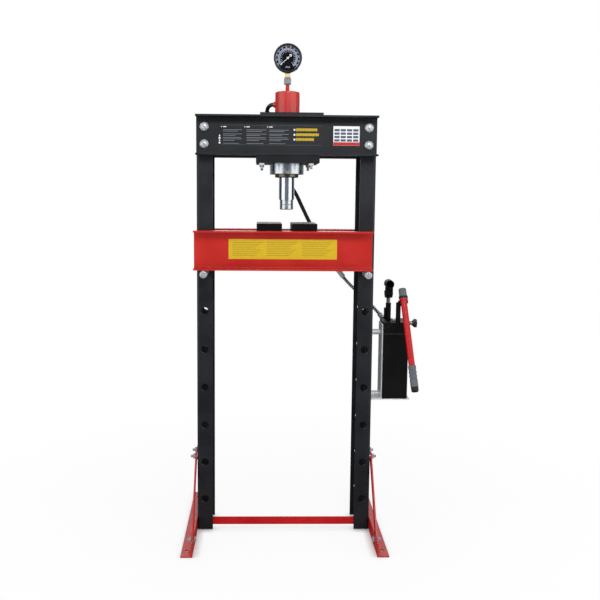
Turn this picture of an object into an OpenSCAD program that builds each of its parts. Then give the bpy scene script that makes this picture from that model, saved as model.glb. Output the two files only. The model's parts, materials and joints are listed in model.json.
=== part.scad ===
// Floor-standing hydraulic workshop press: two folded columns carry a bolted head with
// the ram, and a bed that rests on two pins. A hand pump on the right column feeds the
// ram through a hose. The origin is on the floor, midway between the columns.
// X runs to the right, Y to the back and Z up. All sizes are in millimetres.

/* [Columns] */
// Clear width between the columns
bay_w = 510; // [440:5:640]
// Width of a column's front and rear flanges
column_w = 55; // [48:1:75]
// Depth of a column from front to back
column_d = 130; // [122:1:170]
// Sheet thickness of a column
column_t = 6; // [4:0.5:8]
// Length of a column
column_h = 1467; // [1340:1:1700]
// Outer bend radius of the folded sheets
bend_r = 9; // [8.5:0.5:12]
// Height of the column ends above the floor
column_lift = 3; // [0:0.5:6]
// Diameter of the holes for the bed pins
hole_d = 27; // [26:0.5:32]
// Distance from one pin hole to the next
hole_pitch = 136.5; // [90:0.5:180]
// Lowest height of a pin hole
hole_floor = 100; // [70:1:180]

/* [Head] */
// Height of a head beam
head_h = 135; // [110:1:170]
// Outward reach of a beam's flanges
beam_flange = 50; // [45:1:70]
// Sheet thickness of the beams
beam_t = 6; // [4:0.5:8]
// How far the head stands above the column ends
head_rise = 5; // [0:1:10]
// Upright distance between the head bolts
head_bolt_pitch = 59; // [48:1:64]
// Width of the top plate
top_plate_w = 216; // [190:1:280]
// Depth of the top plate
top_plate_d = 190; // [170:1:220]
// Thickness of the top plate
top_plate_t = 10; // [6:1:16]
// Sideways shift of the top plate from the ram
top_plate_shift = 13; // [-20:1:20]
// Width of the ram plate
ram_plate_w = 216; // [200:1:280]
// Thickness of the ram plate
ram_plate_t = 25; // [16:1:32]
// Distance between the ram plate bolts from left to right
plate_bolt_span = 168; // [160:1:180]
// Sideways shift of the ram plate bolts from the ram
plate_bolt_shift = -4; // [-8:1:8]

/* [Ram] */
// Sideways place of the ram from the middle of the bay
ram_x = 3; // [-30:1:30]
// Outer diameter of the cylinder
cylinder_d = 87; // [84:1:96]
// Height of the cylinder above the top plate
cylinder_rise = 78; // [70:1:120]
// Bore of the cylinder
bore_d = 66; // [64:1:68]
// Thickness of the cylinder's closed top
cylinder_cap = 18; // [15:1:24]
// Outer diameter of the lock ring
ring_d = 120; // [108:1:130]
// Height of the lock ring
ring_h = 37; // [24:1:50]
// Diameter of the gland's flange
gland_d = 83; // [74:1:84]
// Thickness of the gland's flange
gland_t = 11; // [9:1:16]
// Length of the gland inside the cylinder
gland_l = 30; // [20:1:40]
// Diameter of the ram
ram_d = 55; // [48:1:58]
// Bore of the hollow ram
ram_bore = 30; // [28:0.5:32]
// Length of ram that shows below the gland when it is up
ram_out = 77; // [40:1:110]
// Diameter of the ram nose
nose_d = 47.5; // [38:0.5:52]
// Length of the ram nose
nose_l = 35; // [25:1:50]
// Height of the piston
piston_h = 30; // [22:1:40]
// Room above the piston when the ram is up
piston_room = 15; // [8:1:25]
// Wire diameter of the return spring
spring_wire = 4; // [3:0.5:4.5]
// Mean diameter of the return spring
spring_d = 22; // [20:0.5:24]
// Turns of the return spring
spring_turns = 24; // [18:1:30]
// Room between the raised nose and the press plates
daylight = 47; // [30:1:120]

/* [Gauge] */
// Diameter of the gauge's bezel
gauge_d = 98; // [92:1:110]
// Depth of the gauge with its bezel
gauge_depth = 46; // [42:1:56]
// Diameter of the gauge pipe
pipe_d = 13.5; // [11:0.5:16]
// Length of gauge pipe that shows above the cylinder
pipe_l = 24; // [15:1:40]
// Width across the flats of the gauge coupling
coupling_af = 25; // [24:1:32]
// Height of the gauge coupling
coupling_h = 26; // [22:1:34]
// Width of the square on the gauge stem
stem_square = 20; // [17:1:24]
// Length of the square below the gauge
stem_l = 17; // [12:1:25]

/* [Bed] */
// Height of a bed beam
bed_h = 136; // [110:1:170]
// Running clearance between a bed beam and the columns
bed_clear = 1; // [0.5:0.5:3]
// Length of the bed beams
bed_l = 620; // [600:1:680]
// Sideways shift of the bed
bed_shift = -9; // [-12:1:12]
// Thickness of the spacers between the bed beams
spacer_t = 8; // [5:1:12]
// Height of the spacers between the bed beams
spacer_h = 90; // [60:1:110]
// Diameter of a bed pin
pin_d = 25; // [22:0.5:25.5]
// Reach of a bed pin beyond the column faces
pin_out = 69; // [52:1:90]
// Width of a press plate
press_plate_w = 88; // [60:1:110]
// Depth of a press plate
press_plate_d = 170; // [150:1:210]
// Thickness of a press plate
press_plate_t = 25; // [16:1:35]
// Gap between the press plates
press_plate_gap = 34; // [15:1:60]

/* [Feet] */
// Length of a foot
foot_l = 560; // [480:1:700]
// Outward width of a foot
foot_w = 40; // [36:1:55]
// Height of a foot's upright leg
foot_h = 48; // [46:1:60]
// Sheet thickness of a foot
foot_t = 4; // [3:0.5:6]
// Distance of the anchor holes from the middle of a foot
anchor_y = 235; // [222:1:236]
// Diameter of an anchor hole
anchor_d = 12; // [9:0.5:14]
// Width of a brace
brace_w = 30; // [26:1:34]
// Thickness of a brace
brace_t = 5; // [3:0.5:7]
// Height of a brace's bolt on the column
brace_z = 265; // [180:1:400]
// Distance of a brace's bolt on the foot from the middle
brace_foot_y = 206; // [190:1:210]
// Height of the cross bar
bar_h = 28; // [26:1:38]
// Thickness of the cross bar
bar_t = 4; // [3:0.5:6]
// Height of the cross bar's lower edge
bar_z = 17; // [12:1:22]

/* [Pump] */
// Gap between the column and the pump bracket
standoff = 37; // [25:1:60]
// Sheet thickness of the pump bracket
bracket_t = 4; // [3:0.5:6]
// Height of the bracket's shelf
shelf_z = 482; // [400:1:560]
// Width of the reservoir
reservoir_w = 90; // [88:1:120]
// Depth of the reservoir and of the pump head
reservoir_d = 100; // [96:1:130]
// Height of the reservoir
reservoir_h = 236; // [220:1:300]
// Wall of the reservoir
reservoir_t = 3; // [2:0.5:5]
// Height of the pump head
pump_head_h = 41; // [38:1:50]
// Place of the pump barrel from the reservoir's left side
barrel_inset = 23; // [20:1:26]
// Outer diameter of the pump barrel
barrel_d = 19; // [17.5:0.5:24]
// Height of the pump barrel above the pump head
barrel_h = 64; // [50:1:80]
// Diameter of the pump plunger
plunger_d = 12.5; // [10:0.5:14]
// Length of plunger that shows above the barrel
plunger_out = 23; // [18:1:35]
// Distance from the plunger to the lever's pivot
lever_arm = 45; // [42:1:48]
// Outer diameter of the lever socket
socket_d = 31; // [29:1:36]
// Bore of the lever socket
socket_bore = 23; // [22.5:0.5:25]
// Length of the lever socket ahead of the plunger
socket_l = 26; // [22:1:80]
// Diameter of the release knob
knob_d = 33; // [28:1:40]
// Diameter of the release valve's stem
valve_d = 14; // [12:0.5:16]
// Length of stem that shows beside the pump head
valve_out = 24; // [20:1:30]

/* [Handle] */
// Outer diameter of the handle tube
handle_d = 22; // [20:0.5:22.5]
// Wall of the handle tube
handle_t = 2.5; // [1.5:0.5:4]
// Length of the handle tube
handle_l = 359; // [330:1:420]
// Outer diameter of the grip
grip_d = 27; // [26:0.5:30]
// Length of the grip
grip_l = 92; // [70:1:120]
// Lean of the stored handle
handle_lean = 5.5; // [4:0.5:11]
// Diameter of the handle holder's post
post_d = 17; // [14:0.5:18]
// Height of the handle holder's post
post_h = 70; // [60:1:85]

/* [Hose] */
// Outer diameter of the hose
hose_d = 14; // [10:0.5:15]

/* [Hidden] */
$fn = 64;

// Clearances: a seat between fixed pieces, a running fit, and a loose bolt hole
seat = 0.1;
run = 0.05;
loose = 0.5;
// Overlap that makes a cut pass cleanly through a face
past = 1;

// Bolt sizes: shank, width across the flats, head height, nut height
big_bolt = [16, 24, 10, 13];
small_bolt = [10, 17, 6.4, 8.4];
washer_t = 3;
washer_over = 7;
bolt_end = 4;

// Colours of the paints and metals
black_paint = "#222224";
red_paint = "#c8202a";
zinc = "#b9bcc0";
chrome = "#d8dade";
steel = "#8b8d90";
brass = "#c9a64a";
bronze = "#9a7c52";
grey_rubber = "#7c8187";
black_rubber = "#1b1b1c";

// Planes and heights that follow from the driving sizes
column_out = bay_w / 2 + column_w;
column_mid = bay_w / 2 + column_w / 2;
half_d = column_d / 2;
column_top = column_lift + column_h;
head_top = column_top + head_rise;
head_z = head_top - head_h;
top_plate_top = head_top + top_plate_t;
ram_plate_z = head_z - ram_plate_t;
ram_plate_d = column_d + 2 * beam_flange - 6;
ring_z = ram_plate_z - ring_h;
gland_z = ring_z - gland_t;
cylinder_top = top_plate_top + cylinder_rise;
bore_top = cylinder_top - cylinder_cap;
nose_top = gland_z - ram_out;
nose_z = nose_top - nose_l;
plate_top = nose_z - daylight;
bed_top = plate_top - press_plate_t;
bed_z = bed_top - bed_h;
pin_z = bed_z - pin_d / 2;
top_hole_z = pin_z + (hole_d - pin_d) / 2;
hole_count = floor((top_hole_z - hole_floor) / hole_pitch) + 1;

// Ram: the piston sits on a spigot at the top of the hollow ram
piston_top = bore_top - piston_room;
piston_z = piston_top - piston_h;
piston_bore = ram_d - 12;
spigot_d = piston_bore - 2 * seat;
nose_spigot = 25;
plug_flange = 8;
plug_l = 22;
plug_d = spring_d - spring_wire - 1;
plug_stem_d = 12;
lower_plug_z = nose_top + nose_spigot + seat;
upper_plug_z = piston_z - 10;
spring_z = lower_plug_z + plug_flange + spring_wire / 2 + 0.3;
spring_end_z = upper_plug_z + plug_l - spring_wire / 2;

// Port for the hose elbow, on the left of the cylinder
port_drop = 43;
port_z = cylinder_top - port_drop;
port_boss_d = 20;
port_boss_l = 6;
port_d = 12;
elbow_d = 14;

// Gauge heights, from the cylinder up
pipe_thread = 12;
pipe_bore = 4;
coupling_z = cylinder_top + pipe_l;
coupling_top = coupling_z + coupling_h;
gauge_z = coupling_top + stem_l + gauge_d / 2 - 1;
case_d = gauge_d - 4;
case_t = 1.5;
bezel_l = 12;
bezel_t = 5;
gauge_front = -gauge_depth / 2;
lens_t = 2;
dial_y = gauge_front + bezel_l + 1;
needle_y = dial_y - 4;
needle_l = 35;
needle_tail = 17;
needle_zero = 222;
spindle_d = 3;
tube_ring_r = 32;
tube_ring_d = 7;

// Bed
spacer_inset = 30;
spacer_x = bay_w / 2 - spacer_inset;
press_chamfer = 1.5;
pin_chamfer = 2;

// Feet and braces
foot_bolt_y = 32;
foot_bolt_z = 26;
brace_column_y = 35;
brace_foot_z = 30;
brace_x = column_out + foot_t;
anchor_x = column_out + foot_t + (foot_w - foot_t) / 2;
bar_y = -half_d + bend_r;

// Pump unit, from the bracket's plate to the right
bracket_x = column_out + standoff;
bracket_d = 80;
shelf_front = reservoir_d / 2;
shelf_over = 9;
reservoir_x = bracket_x + bracket_t;
pump_head_z = shelf_z + reservoir_h;
pump_top = pump_head_z + pump_head_h;
bracket_top = pump_top - 9;
bracket_gap = 2;
boss_d = 20;
boss_sink = 2;
boss_low = shelf_z + boss_d / 2 - boss_sink;
boss_high = shelf_z + reservoir_h - 1;
boss_screw = 20;
barrel_x = reservoir_x + barrel_inset;
barrel_top = pump_top + barrel_h;
barrel_seat = 12;
clevis_z = barrel_top + plunger_out;
clevis_base = 4;
ear_r = 8.5;
ear_t = 7;
ear_gap = 12;
lever_z = clevis_z + 10;
lever_pin_d = 8;
lever_pin_head = 2;
slot_play = 0.6;
slot_half = 3;
tongue_w = ear_gap - 1;
socket_rise = 20.5;
socket_z = lever_z + socket_d / 2 + socket_rise;
socket_wall = 8;
fork_t = 6;
blade_w = 10;
blade_x = barrel_x + 1;
blade_play = 0.5;
lug_w = 18;
lug_h = 40;
plunger_low = 28;

// Release valve on the right of the pump head
valve_y = 5;
valve_z = pump_top - 11;
valve_seat = 22;
knob_t = 17;
knob_lobes = 6;

// Filler plug on top of the pump head
filler_d = 12;
filler_af = 16;
filler_h = 7;
filler_l = 10;
filler_x = barrel_x + 20;
filler_y = -8;

// Handle: its axis leans to the right, and its grip stands out to the front
handle_tilt = 18;
handle_y = -reservoir_d / 2 - grip_d / 2 - 4;
collar_d = handle_d + 8;
collar_l = 14;
saddle_t = 4;
saddle_h = 12;
cap_d = 27;
cap_l = 26;
post_inset = 53;
post_x = reservoir_x + post_inset;
post_y = -reservoir_d / 2 + 15;
saddle_x = post_x + 12;
saddle_rise = 13;
saddle_z = pump_top + post_h + saddle_rise;
arm_t = 9;

// Hose route from the cylinder's elbow, over the head, down behind it and to the pump.
// Its points are drawn between two ends, and follow the elbows where those are moved.
pump_elbow_in = 2;
pump_elbow_out = 28;
pump_elbow_drop = 14;
pump_elbow = [barrel_x + pump_elbow_in, reservoir_d / 2 + pump_elbow_out, pump_top - pump_elbow_drop];
elbow_bend = 16;
upper_elbow_x = ram_x - cylinder_d / 2 - port_boss_l;
drawn_top = [-62.5, 1520];
drawn_end = [376, 745];
function follow(v, a, b, to_a, to_b) = to_a + (v - a) * (to_b - to_a) / (b - a);
hose_drawn = [
  [-62.5, 16.4, 1520], [-62.5, 28, 1519.4], [-62.5, 46, 1515.5], [-62, 70, 1508],
  [-61, 98, 1496.5], [-59, 122, 1482],
  [-56, 141, 1462], [-52, 152, 1438], [-47, 158, 1411], [-40, 160, 1380], [-30, 159, 1345],
  [-17, 157, 1308], [6, 154, 1264], [39, 150, 1217], [66, 147, 1163], [92, 144, 1110],
  [120, 141, 1058], [149, 139, 1010], [178, 136, 964], [206, 133, 924], [231, 128, 892],
  [256, 121, 866], [279, 111, 846], [299, 101, 828], [317, 91, 810], [333, 82, 793],
  [348, 78, 776.5], [364, 78, 758.5]
];
hose_route = [for (p = hose_drawn) [
  follow(p[0], drawn_top[0], drawn_end[0], upper_elbow_x - elbow_bend, pump_elbow[0]), p[1],
  follow(p[2], drawn_top[1], drawn_end[1], port_z, pump_elbow[2])]];
hose_sides = 10;
fitting_l = 16;
fitting_play = 0.9;
fitting_d = hose_d + 5;
clip_at = 19;
hose_end = len(hose_route) - 1;

// Points of an arc about a centre, from angle a to angle b
function arc(x, y, r, a, b, n = 8) =
  [for (i = [0 : n]) [x + r * cos(a + (b - a) * i / n), y + r * sin(a + (b - a) * i / n)]];

function unit(v) = v / norm(v);

// Direction of a route at a point
function along(route, i) =
  unit(route[min(i + 1, len(route) - 1)] - route[max(i - 1, 0)]);

// Ring of points round a route; the fixed vector is never along the hose
function ring(route, i, r) =
  let (t = along(route, i), u = unit(cross(t, [1, 0.3, 0.6])), v = cross(t, u))
  [for (k = [0 : hose_sides - 1])
    route[i] + r * cos(360 * k / hose_sides) * u + r * sin(360 * k / hose_sides) * v];

// Folded channel section: web along x = 0, flanges towards +x, round outer bends
module channel_section(h, flange, t) {
  inner = bend_r - t;
  polygon(concat(
    [[flange, 0]], arc(bend_r, bend_r, bend_r, 270, 180), arc(bend_r, h - bend_r, bend_r, 180, 90),
    [[flange, h], [flange, h - t]],
    arc(bend_r, h - bend_r, inner, 90, 180), arc(bend_r, bend_r, inner, 180, 270),
    [[flange, t]]
  ));
}

// Beam along X, web back at y = 0 and flanges towards -y
module beam(l, h) {
  translate([l / 2, 0, 0])
    rotate([90, 0, -90])
      linear_extrude(l)
        channel_section(h, beam_flange, beam_t);
}

module along_y(y, l) {
  translate([0, y, 0])
    rotate([-90, 0, 0])
      linear_extrude(l)
        children();
}

module along_x(x, l) {
  translate([x, 0, 0])
    rotate([0, 90, 0])
      linear_extrude(l)
        children();
}

// Round bar along Y from y to y + l
module rod_y(d, y, l) {
  translate([0, y, 0])
    rotate([-90, 0, 0])
      cylinder(d = d, h = l);
}

// Round bar along X from x to x + l
module rod_x(d, x, l) {
  translate([x, 0, 0])
    rotate([0, 90, 0])
      cylinder(d = d, h = l);
}

// Bolt along +Z: head below z = 0, shank above
module bolt(size, l) {
  translate([0, 0, -size[2]])
    cylinder(d = size[1] / cos(30), h = size[2], $fn = 6);
  cylinder(d = size[0], h = l);
}

// Nut on z = 0, turned on a bolt of the same size
module nut(size) {
  difference() {
    cylinder(d = size[1] / cos(30), h = size[3], $fn = 6);
    translate([0, 0, -past])
      cylinder(d = size[0] + 2 * seat, h = size[3] + 2 * past);
  }
}

module washer(size, t, over = washer_over) {
  difference() {
    cylinder(d = size[0] + 2 * over, h = t);
    translate([0, 0, -past])
      cylinder(d = size[0] + 2 * seat, h = t + 2 * past);
  }
}

// Places of the head bolts in the plane of the column's flanges
module at_head_bolts() {
  for (x = [-column_mid, column_mid], dz = [-1, 1])
    translate([x, 0, head_z + head_h / 2 + dz * head_bolt_pitch / 2])
      children();
}

// Places of the ram plate bolts, in the middle of the head beams' lower flanges
plate_bolt_y = half_d + beam_t + (beam_flange - beam_t) / 2 + 1;
module at_plate_bolts() {
  for (dx = [-1, 1], side = [-1, 1])
    translate([ram_x + plate_bolt_shift + dx * plate_bolt_span / 2, side * plate_bolt_y, 0])
      children();
}

// Column for the right side, web outwards
module column() {
  difference() {
    translate([column_out, -half_d, column_lift])
      linear_extrude(column_h)
        mirror([1, 0])
          channel_section(column_d, column_w, column_t);
    for (i = [0 : hole_count - 1])
      translate([column_mid, 0, top_hole_z - i * hole_pitch])
        rod_y(hole_d, -half_d - past, column_d + 2 * past);
    at_head_bolts()
      rod_y(big_bolt[0] + 2 * loose, -half_d - past, column_d + 2 * past);
    for (y = [-1, 1]) {
      translate([0, y * brace_column_y, brace_z])
        rod_x(small_bolt[0] + 2 * loose, column_out - column_t - past, column_t + 2 * past);
      translate([0, y * foot_bolt_y, foot_bolt_z])
        rod_x(small_bolt[0] + 2 * loose, column_out - column_t - past, column_t + 2 * past);
    }
  }
}

module left_column() {
  color(black_paint)
    mirror([1, 0, 0])
      column();
}

module right_column() {
  color(black_paint)
    difference() {
      column();
      for (z = [boss_low, boss_high])
        translate([0, 0, z])
          rod_x(small_bolt[0] + 2 * loose, column_out - column_t - past, column_t + 2 * past);
    }
}

// Head beam at the front; the rear one is its mirror image
module head_beam() {
  difference() {
    translate([0, -half_d, head_z])
      beam(2 * column_out, head_h);
    at_head_bolts()
      rod_y(big_bolt[0] + 2 * loose, -half_d - beam_t - past, beam_t + 2 * past);
    at_plate_bolts()
      translate([0, 0, head_z - past])
        cylinder(d = small_bolt[0] + 2 * loose, h = beam_t + 2 * past);
  }
}

module front_head_beam() {
  color(black_paint)
    head_beam();
}

module rear_head_beam() {
  color(black_paint)
    mirror([0, 1, 0])
      head_beam();
}

// Eight bolt sets that hold the head beams on the columns
module head_bolts() {
  grip = washer_t + beam_t + column_t;
  color(zinc)
    for (side = [0, 1])
      mirror([0, side, 0])
        at_head_bolts()
          translate([0, -half_d - beam_t - washer_t, 0])
            rotate([-90, 0, 0]) {
              bolt(big_bolt, grip + big_bolt[3] + bolt_end);
              washer(big_bolt, washer_t);
              translate([0, 0, grip])
                nut(big_bolt);
            }
}

// Plate welded across the top of the head; the cylinder passes through it
module top_plate() {
  color(black_paint)
    difference() {
      translate([ram_x + top_plate_shift - top_plate_w / 2, -top_plate_d / 2, head_top])
        cube([top_plate_w, top_plate_d, top_plate_t]);
      translate([ram_x, 0, head_top - past])
        cylinder(d = cylinder_d + 2 * seat, h = top_plate_t + 2 * past);
    }
}

// Thick plate bolted under the head; it takes the ram's thrust
module ram_plate() {
  color(black_paint)
    difference() {
      translate([ram_x - ram_plate_w / 2, -ram_plate_d / 2, ram_plate_z])
        cube([ram_plate_w, ram_plate_d, ram_plate_t]);
      translate([ram_x, 0, ram_plate_z - past])
        cylinder(d = cylinder_d + 2 * seat, h = ram_plate_t + 2 * past);
      at_plate_bolts()
        translate([0, 0, ram_plate_z - past])
          cylinder(d = small_bolt[0] + 2 * loose, h = ram_plate_t + 2 * past);
    }
}

// Four studs with low round heads that hang the ram plate from the head beams
module ram_plate_bolts() {
  stud_head = 2;
  grip = beam_t + ram_plate_t;
  color(zinc)
    at_plate_bolts()
      translate([0, 0, head_z + beam_t])
        mirror([0, 0, 1]) {
          translate([0, 0, -stud_head])
            cylinder(d = small_bolt[1] - 3, h = stud_head);
          cylinder(d = small_bolt[0], h = grip + small_bolt[3] + 3 * bolt_end);
          translate([0, 0, grip])
            nut(small_bolt);
        }
}

// Cylinder with a closed top, a gauge port there and a hose port on its left side
module cylinder_outline() {
  round_r = 4;
  polygon(concat(
    [[0, ring_z], [cylinder_d / 2, ring_z]],
    arc(cylinder_d / 2 - round_r, cylinder_top - round_r, round_r, 0, 90),
    [[0, cylinder_top]]
  ));
}

module cylinder_body() {
  color(red_paint)
    translate([ram_x, 0, 0])
      difference() {
        union() {
          rotate_extrude()
            cylinder_outline();
          translate([0, 0, port_z])
            rod_x(port_boss_d, -cylinder_d / 2 - port_boss_l, port_boss_l + 6);
        }
        translate([0, 0, ring_z - past])
          cylinder(d = bore_d, h = bore_top - ring_z + past);
        translate([0, 0, cylinder_top - pipe_thread])
          cylinder(d = pipe_d + 2 * seat, h = pipe_thread + past);
        translate([0, 0, bore_top - past])
          cylinder(d = pipe_bore, h = cylinder_cap);
        translate([0, 0, port_z])
          rod_x(port_d + 2 * seat, -cylinder_d / 2 - port_boss_l - past, cylinder_d / 2 + port_boss_l);
        translate([bore_d / 4, 0, bore_top - past])
          cylinder(d = plug_stem_d + 2 * seat, h = pipe_thread / 2 + past);
      }
}

// Round nut with tommy-bar holes, screwed up the cylinder against the ram plate
module lock_ring() {
  bar_hole = 10;
  bar_depth = 10;
  ring_chamfer = 2;
  color(chrome)
    translate([ram_x, 0, ring_z])
      difference() {
        union() {
          cylinder(d1 = ring_d - 2 * ring_chamfer, d2 = ring_d, h = ring_chamfer);
          translate([0, 0, ring_chamfer])
            cylinder(d = ring_d, h = ring_h - ring_chamfer);
        }
        translate([0, 0, -past])
          cylinder(d = cylinder_d + 2 * seat, h = ring_h + 2 * past);
        for (a = [0 : 90 : 270])
          rotate(a)
            translate([0, 0, ring_h / 2])
              rod_x(bar_hole, ring_d / 2 - bar_depth, bar_depth + past);
      }
}

// Bronze guide screwed into the cylinder's mouth; the ram runs in its bore
wiper_t = 4;
wiper_h = 6;
module gland() {
  chamfer = 3;
  color(bronze)
    translate([ram_x, 0, gland_z])
      difference() {
        union() {
          cylinder(d1 = gland_d - 2 * chamfer, d2 = gland_d, h = chamfer);
          translate([0, 0, chamfer])
            cylinder(d = gland_d, h = gland_t - chamfer);
          cylinder(d = bore_d - 2 * seat, h = gland_t + gland_l);
        }
        translate([0, 0, -past])
          cylinder(d = ram_d + 2 * run, h = gland_t + gland_l + 2 * past);
        translate([0, 0, -past])
          cylinder(d = ram_d + 2 * wiper_t, h = wiper_h + past);
      }
}

// Rubber ring that keeps dirt off the ram
module rod_wiper() {
  lip = 0.3;
  color(black_rubber)
    translate([ram_x, 0, gland_z])
      difference() {
        cylinder(d = ram_d + 2 * wiper_t - 2 * seat, h = wiper_h - seat);
        translate([0, 0, -past])
          cylinder(d = ram_d + 2 * lip, h = wiper_h + 2 * past);
      }
}

module ram() {
  color(chrome)
    translate([ram_x, 0, 0])
      difference() {
        union() {
          translate([0, 0, nose_top])
            cylinder(d = ram_d, h = piston_z - nose_top);
          translate([0, 0, piston_z])
            cylinder(d = spigot_d, h = piston_h);
        }
        translate([0, 0, nose_top - past])
          cylinder(d = ram_bore, h = piston_top - nose_top + 2 * past);
      }
}

// Nose that presses on the work, with a groove round it
module ram_nose() {
  groove = 1.5;
  groove_z = 17;
  edge = 2;
  color(chrome)
    translate([ram_x, 0, nose_z])
      union() {
        difference() {
          union() {
            cylinder(d1 = nose_d - 2 * edge, d2 = nose_d, h = edge);
            translate([0, 0, edge])
              cylinder(d = nose_d, h = nose_l - edge);
          }
          translate([0, 0, groove_z])
            difference() {
              cylinder(d = nose_d + 2 * past, h = groove);
              translate([0, 0, -past])
                cylinder(d = nose_d - 2 * groove, h = groove + 2 * past);
            }
        }
        translate([0, 0, nose_l - past])
          cylinder(d = ram_bore - 2 * seat, h = nose_spigot + past);
      }
}

seal_h = 8;
seal_t = 5;
module piston() {
  color(steel)
    translate([ram_x, 0, piston_z])
      difference() {
        cylinder(d = bore_d - 2 * run, h = piston_h);
        translate([0, 0, -past])
          cylinder(d = piston_bore, h = piston_h + 2 * past);
        translate([0, 0, (piston_h - seal_h) / 2])
          difference() {
            cylinder(d = bore_d + 2 * past, h = seal_h);
            translate([0, 0, -past])
              cylinder(d = bore_d - 2 * seal_t, h = seal_h + 2 * past);
          }
      }
}

module piston_seal() {
  lip = 0.3;
  color(black_rubber)
    translate([ram_x, 0, piston_z + (piston_h - seal_h) / 2 + seat])
      difference() {
        cylinder(d = bore_d - 2 * lip, h = seal_h - 2 * seat);
        translate([0, 0, -past])
          cylinder(d = bore_d - 2 * seal_t + 2 * seat, h = seal_h + 2 * past);
      }
}

// Plug that hangs the return spring from the cylinder's closed top
module upper_spring_plug() {
  rim = 1.5;
  color(steel)
    translate([ram_x, 0, 0])
      difference() {
        union() {
          translate([0, 0, upper_plug_z])
            cylinder(d = plug_d, h = plug_l);
          translate([0, 0, upper_plug_z + plug_l])
            cylinder(d = ram_bore - 4 * rim, h = 3);
          translate([0, 0, upper_plug_z + plug_l])
            cylinder(d = plug_stem_d, h = bore_top - upper_plug_z - plug_l);
        }
        translate([0, 0, upper_plug_z + plug_l + 4])
          cylinder(d = pipe_bore, h = bore_top - upper_plug_z);
        translate([0, 0, bore_top - 5])
          rod_x(pipe_bore, -plug_stem_d, 2 * plug_stem_d);
      }
}

// Plug in the foot of the hollow ram that pulls on the spring
module lower_spring_plug() {
  color(steel)
    translate([ram_x, 0, lower_plug_z]) {
      cylinder(d = ram_bore - 2 * seat, h = plug_flange);
      cylinder(d = plug_d, h = plug_flange + plug_l);
    }
}

// Return spring: one swept wire from plug to plug inside the hollow ram
spring_steps = 12;
spring_sides = 6;
module return_spring() {
  steps = spring_turns * spring_steps;
  rise = (spring_end_z - spring_z) / steps;
  rings = [for (i = [0 : steps], k = [0 : spring_sides - 1])
    let (a = 360 * i / spring_steps, b = 360 * k / spring_sides,
         r = spring_d / 2 + spring_wire / 2 * cos(b))
    [r * cos(a), r * sin(a), i * rise + spring_wire / 2 * sin(b)]];
  walls = [for (i = [0 : steps - 1], k = [0 : spring_sides - 1])
    let (a = i * spring_sides + k, b = i * spring_sides + (k + 1) % spring_sides)
    [a, a + spring_sides, b + spring_sides, b]];
  ends = [[for (k = [0 : spring_sides - 1]) k],
    [for (k = [spring_sides - 1 : -1 : 0]) steps * spring_sides + k]];
  color(steel)
    translate([ram_x, 0, spring_z])
      polyhedron(rings, concat(walls, ends), convexity = 20);
}

// Pipe from the cylinder's top to the gauge coupling
module gauge_pipe() {
  color(red_paint)
    translate([ram_x, 0, cylinder_top - pipe_thread])
      difference() {
        cylinder(d = pipe_d, h = pipe_thread + pipe_l + coupling_h / 3);
        translate([0, 0, -past])
          cylinder(d = pipe_bore, h = pipe_thread + pipe_l + coupling_h);
      }
}

module gauge_coupling() {
  color(zinc)
    translate([ram_x, 0, coupling_z])
      difference() {
        cylinder(d = coupling_af / cos(30), h = coupling_h, $fn = 6);
        translate([0, 0, -past])
          cylinder(d = pipe_d + 2 * seat, h = coupling_h + 2 * past);
      }
}

// Brass stem of the gauge; its post inside the case carries the needle's spindle
module gauge_stem() {
  thread = coupling_h / 2;
  post_w = 10;
  post_t = 8;
  post_y0 = dial_y + 3;
  tube_seat_z = gauge_z - tube_ring_r - tube_ring_d / 2;
  color(brass)
    translate([ram_x, 0, coupling_top])
      difference() {
        union() {
          translate([0, 0, -thread])
            cylinder(d = pipe_d, h = thread + past);
          translate([-stem_square / 2, -stem_square / 2, 0])
            cube([stem_square, stem_square, stem_l + case_t / 2]);
          translate([-stem_square / 2, post_y0, stem_l])
            cube([stem_square, stem_square / 2 - post_y0, tube_seat_z - coupling_top - stem_l]);
          translate([-post_w / 2, post_y0, stem_l])
            cube([post_w, post_t, gauge_z - coupling_top - stem_l + post_w / 2]);
        }
        translate([0, 0, -thread - past])
          cylinder(d = pipe_bore, h = thread + stem_l + past);
        translate([0, 0, gauge_z - coupling_top])
          rod_y(spindle_d + 2 * run, post_y0 - past, post_t + 2 * past);
      }
}

// Curved tube that straightens with the pressure and turns the needle
module bourdon_tube() {
  sweep = 250;
  color(brass)
    translate([ram_x, stem_square / 2 - tube_ring_d / 2, gauge_z])
      rotate([90, 0, 0])
        rotate(-90 + 10)
          rotate_extrude(angle = sweep)
            translate([tube_ring_r, 0])
              circle(d = tube_ring_d);
}

// Cup that holds the works
module gauge_case() {
  back = gauge_depth / 2;
  front = gauge_front + bezel_l;
  color(black_paint)
    translate([ram_x, 0, gauge_z])
      difference() {
        rod_y(case_d, front, back - front);
        rod_y(case_d - 2 * case_t, front - past, back - front - case_t + past);
        translate([-stem_square / 2 - seat, -stem_square / 2 - seat, -gauge_d])
          cube([stem_square + 2 * seat, stem_square + 2 * seat, gauge_d - case_d / 4]);
      }
}

// Pressed ring with a small locking tab that holds the lens on the case
module gauge_bezel() {
  lip = 2;
  tab = 5;
  tab_angle = 50;
  color(black_paint)
    translate([ram_x, 0, gauge_z])
      union() {
        difference() {
          rod_y(gauge_d, gauge_front, bezel_l);
          rod_y(gauge_d - 2 * bezel_t, gauge_front - past, bezel_l + 2 * past);
          rod_y(case_d - 2 * case_t, gauge_front + lip, bezel_l);
        }
        rotate([0, tab_angle, 0])
          translate([gauge_d / 2 - case_t, gauge_front + bezel_l / 2, -tab / 2])
            cube([tab / 2 + case_t, bezel_l / 3, tab]);
      }
}

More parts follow.
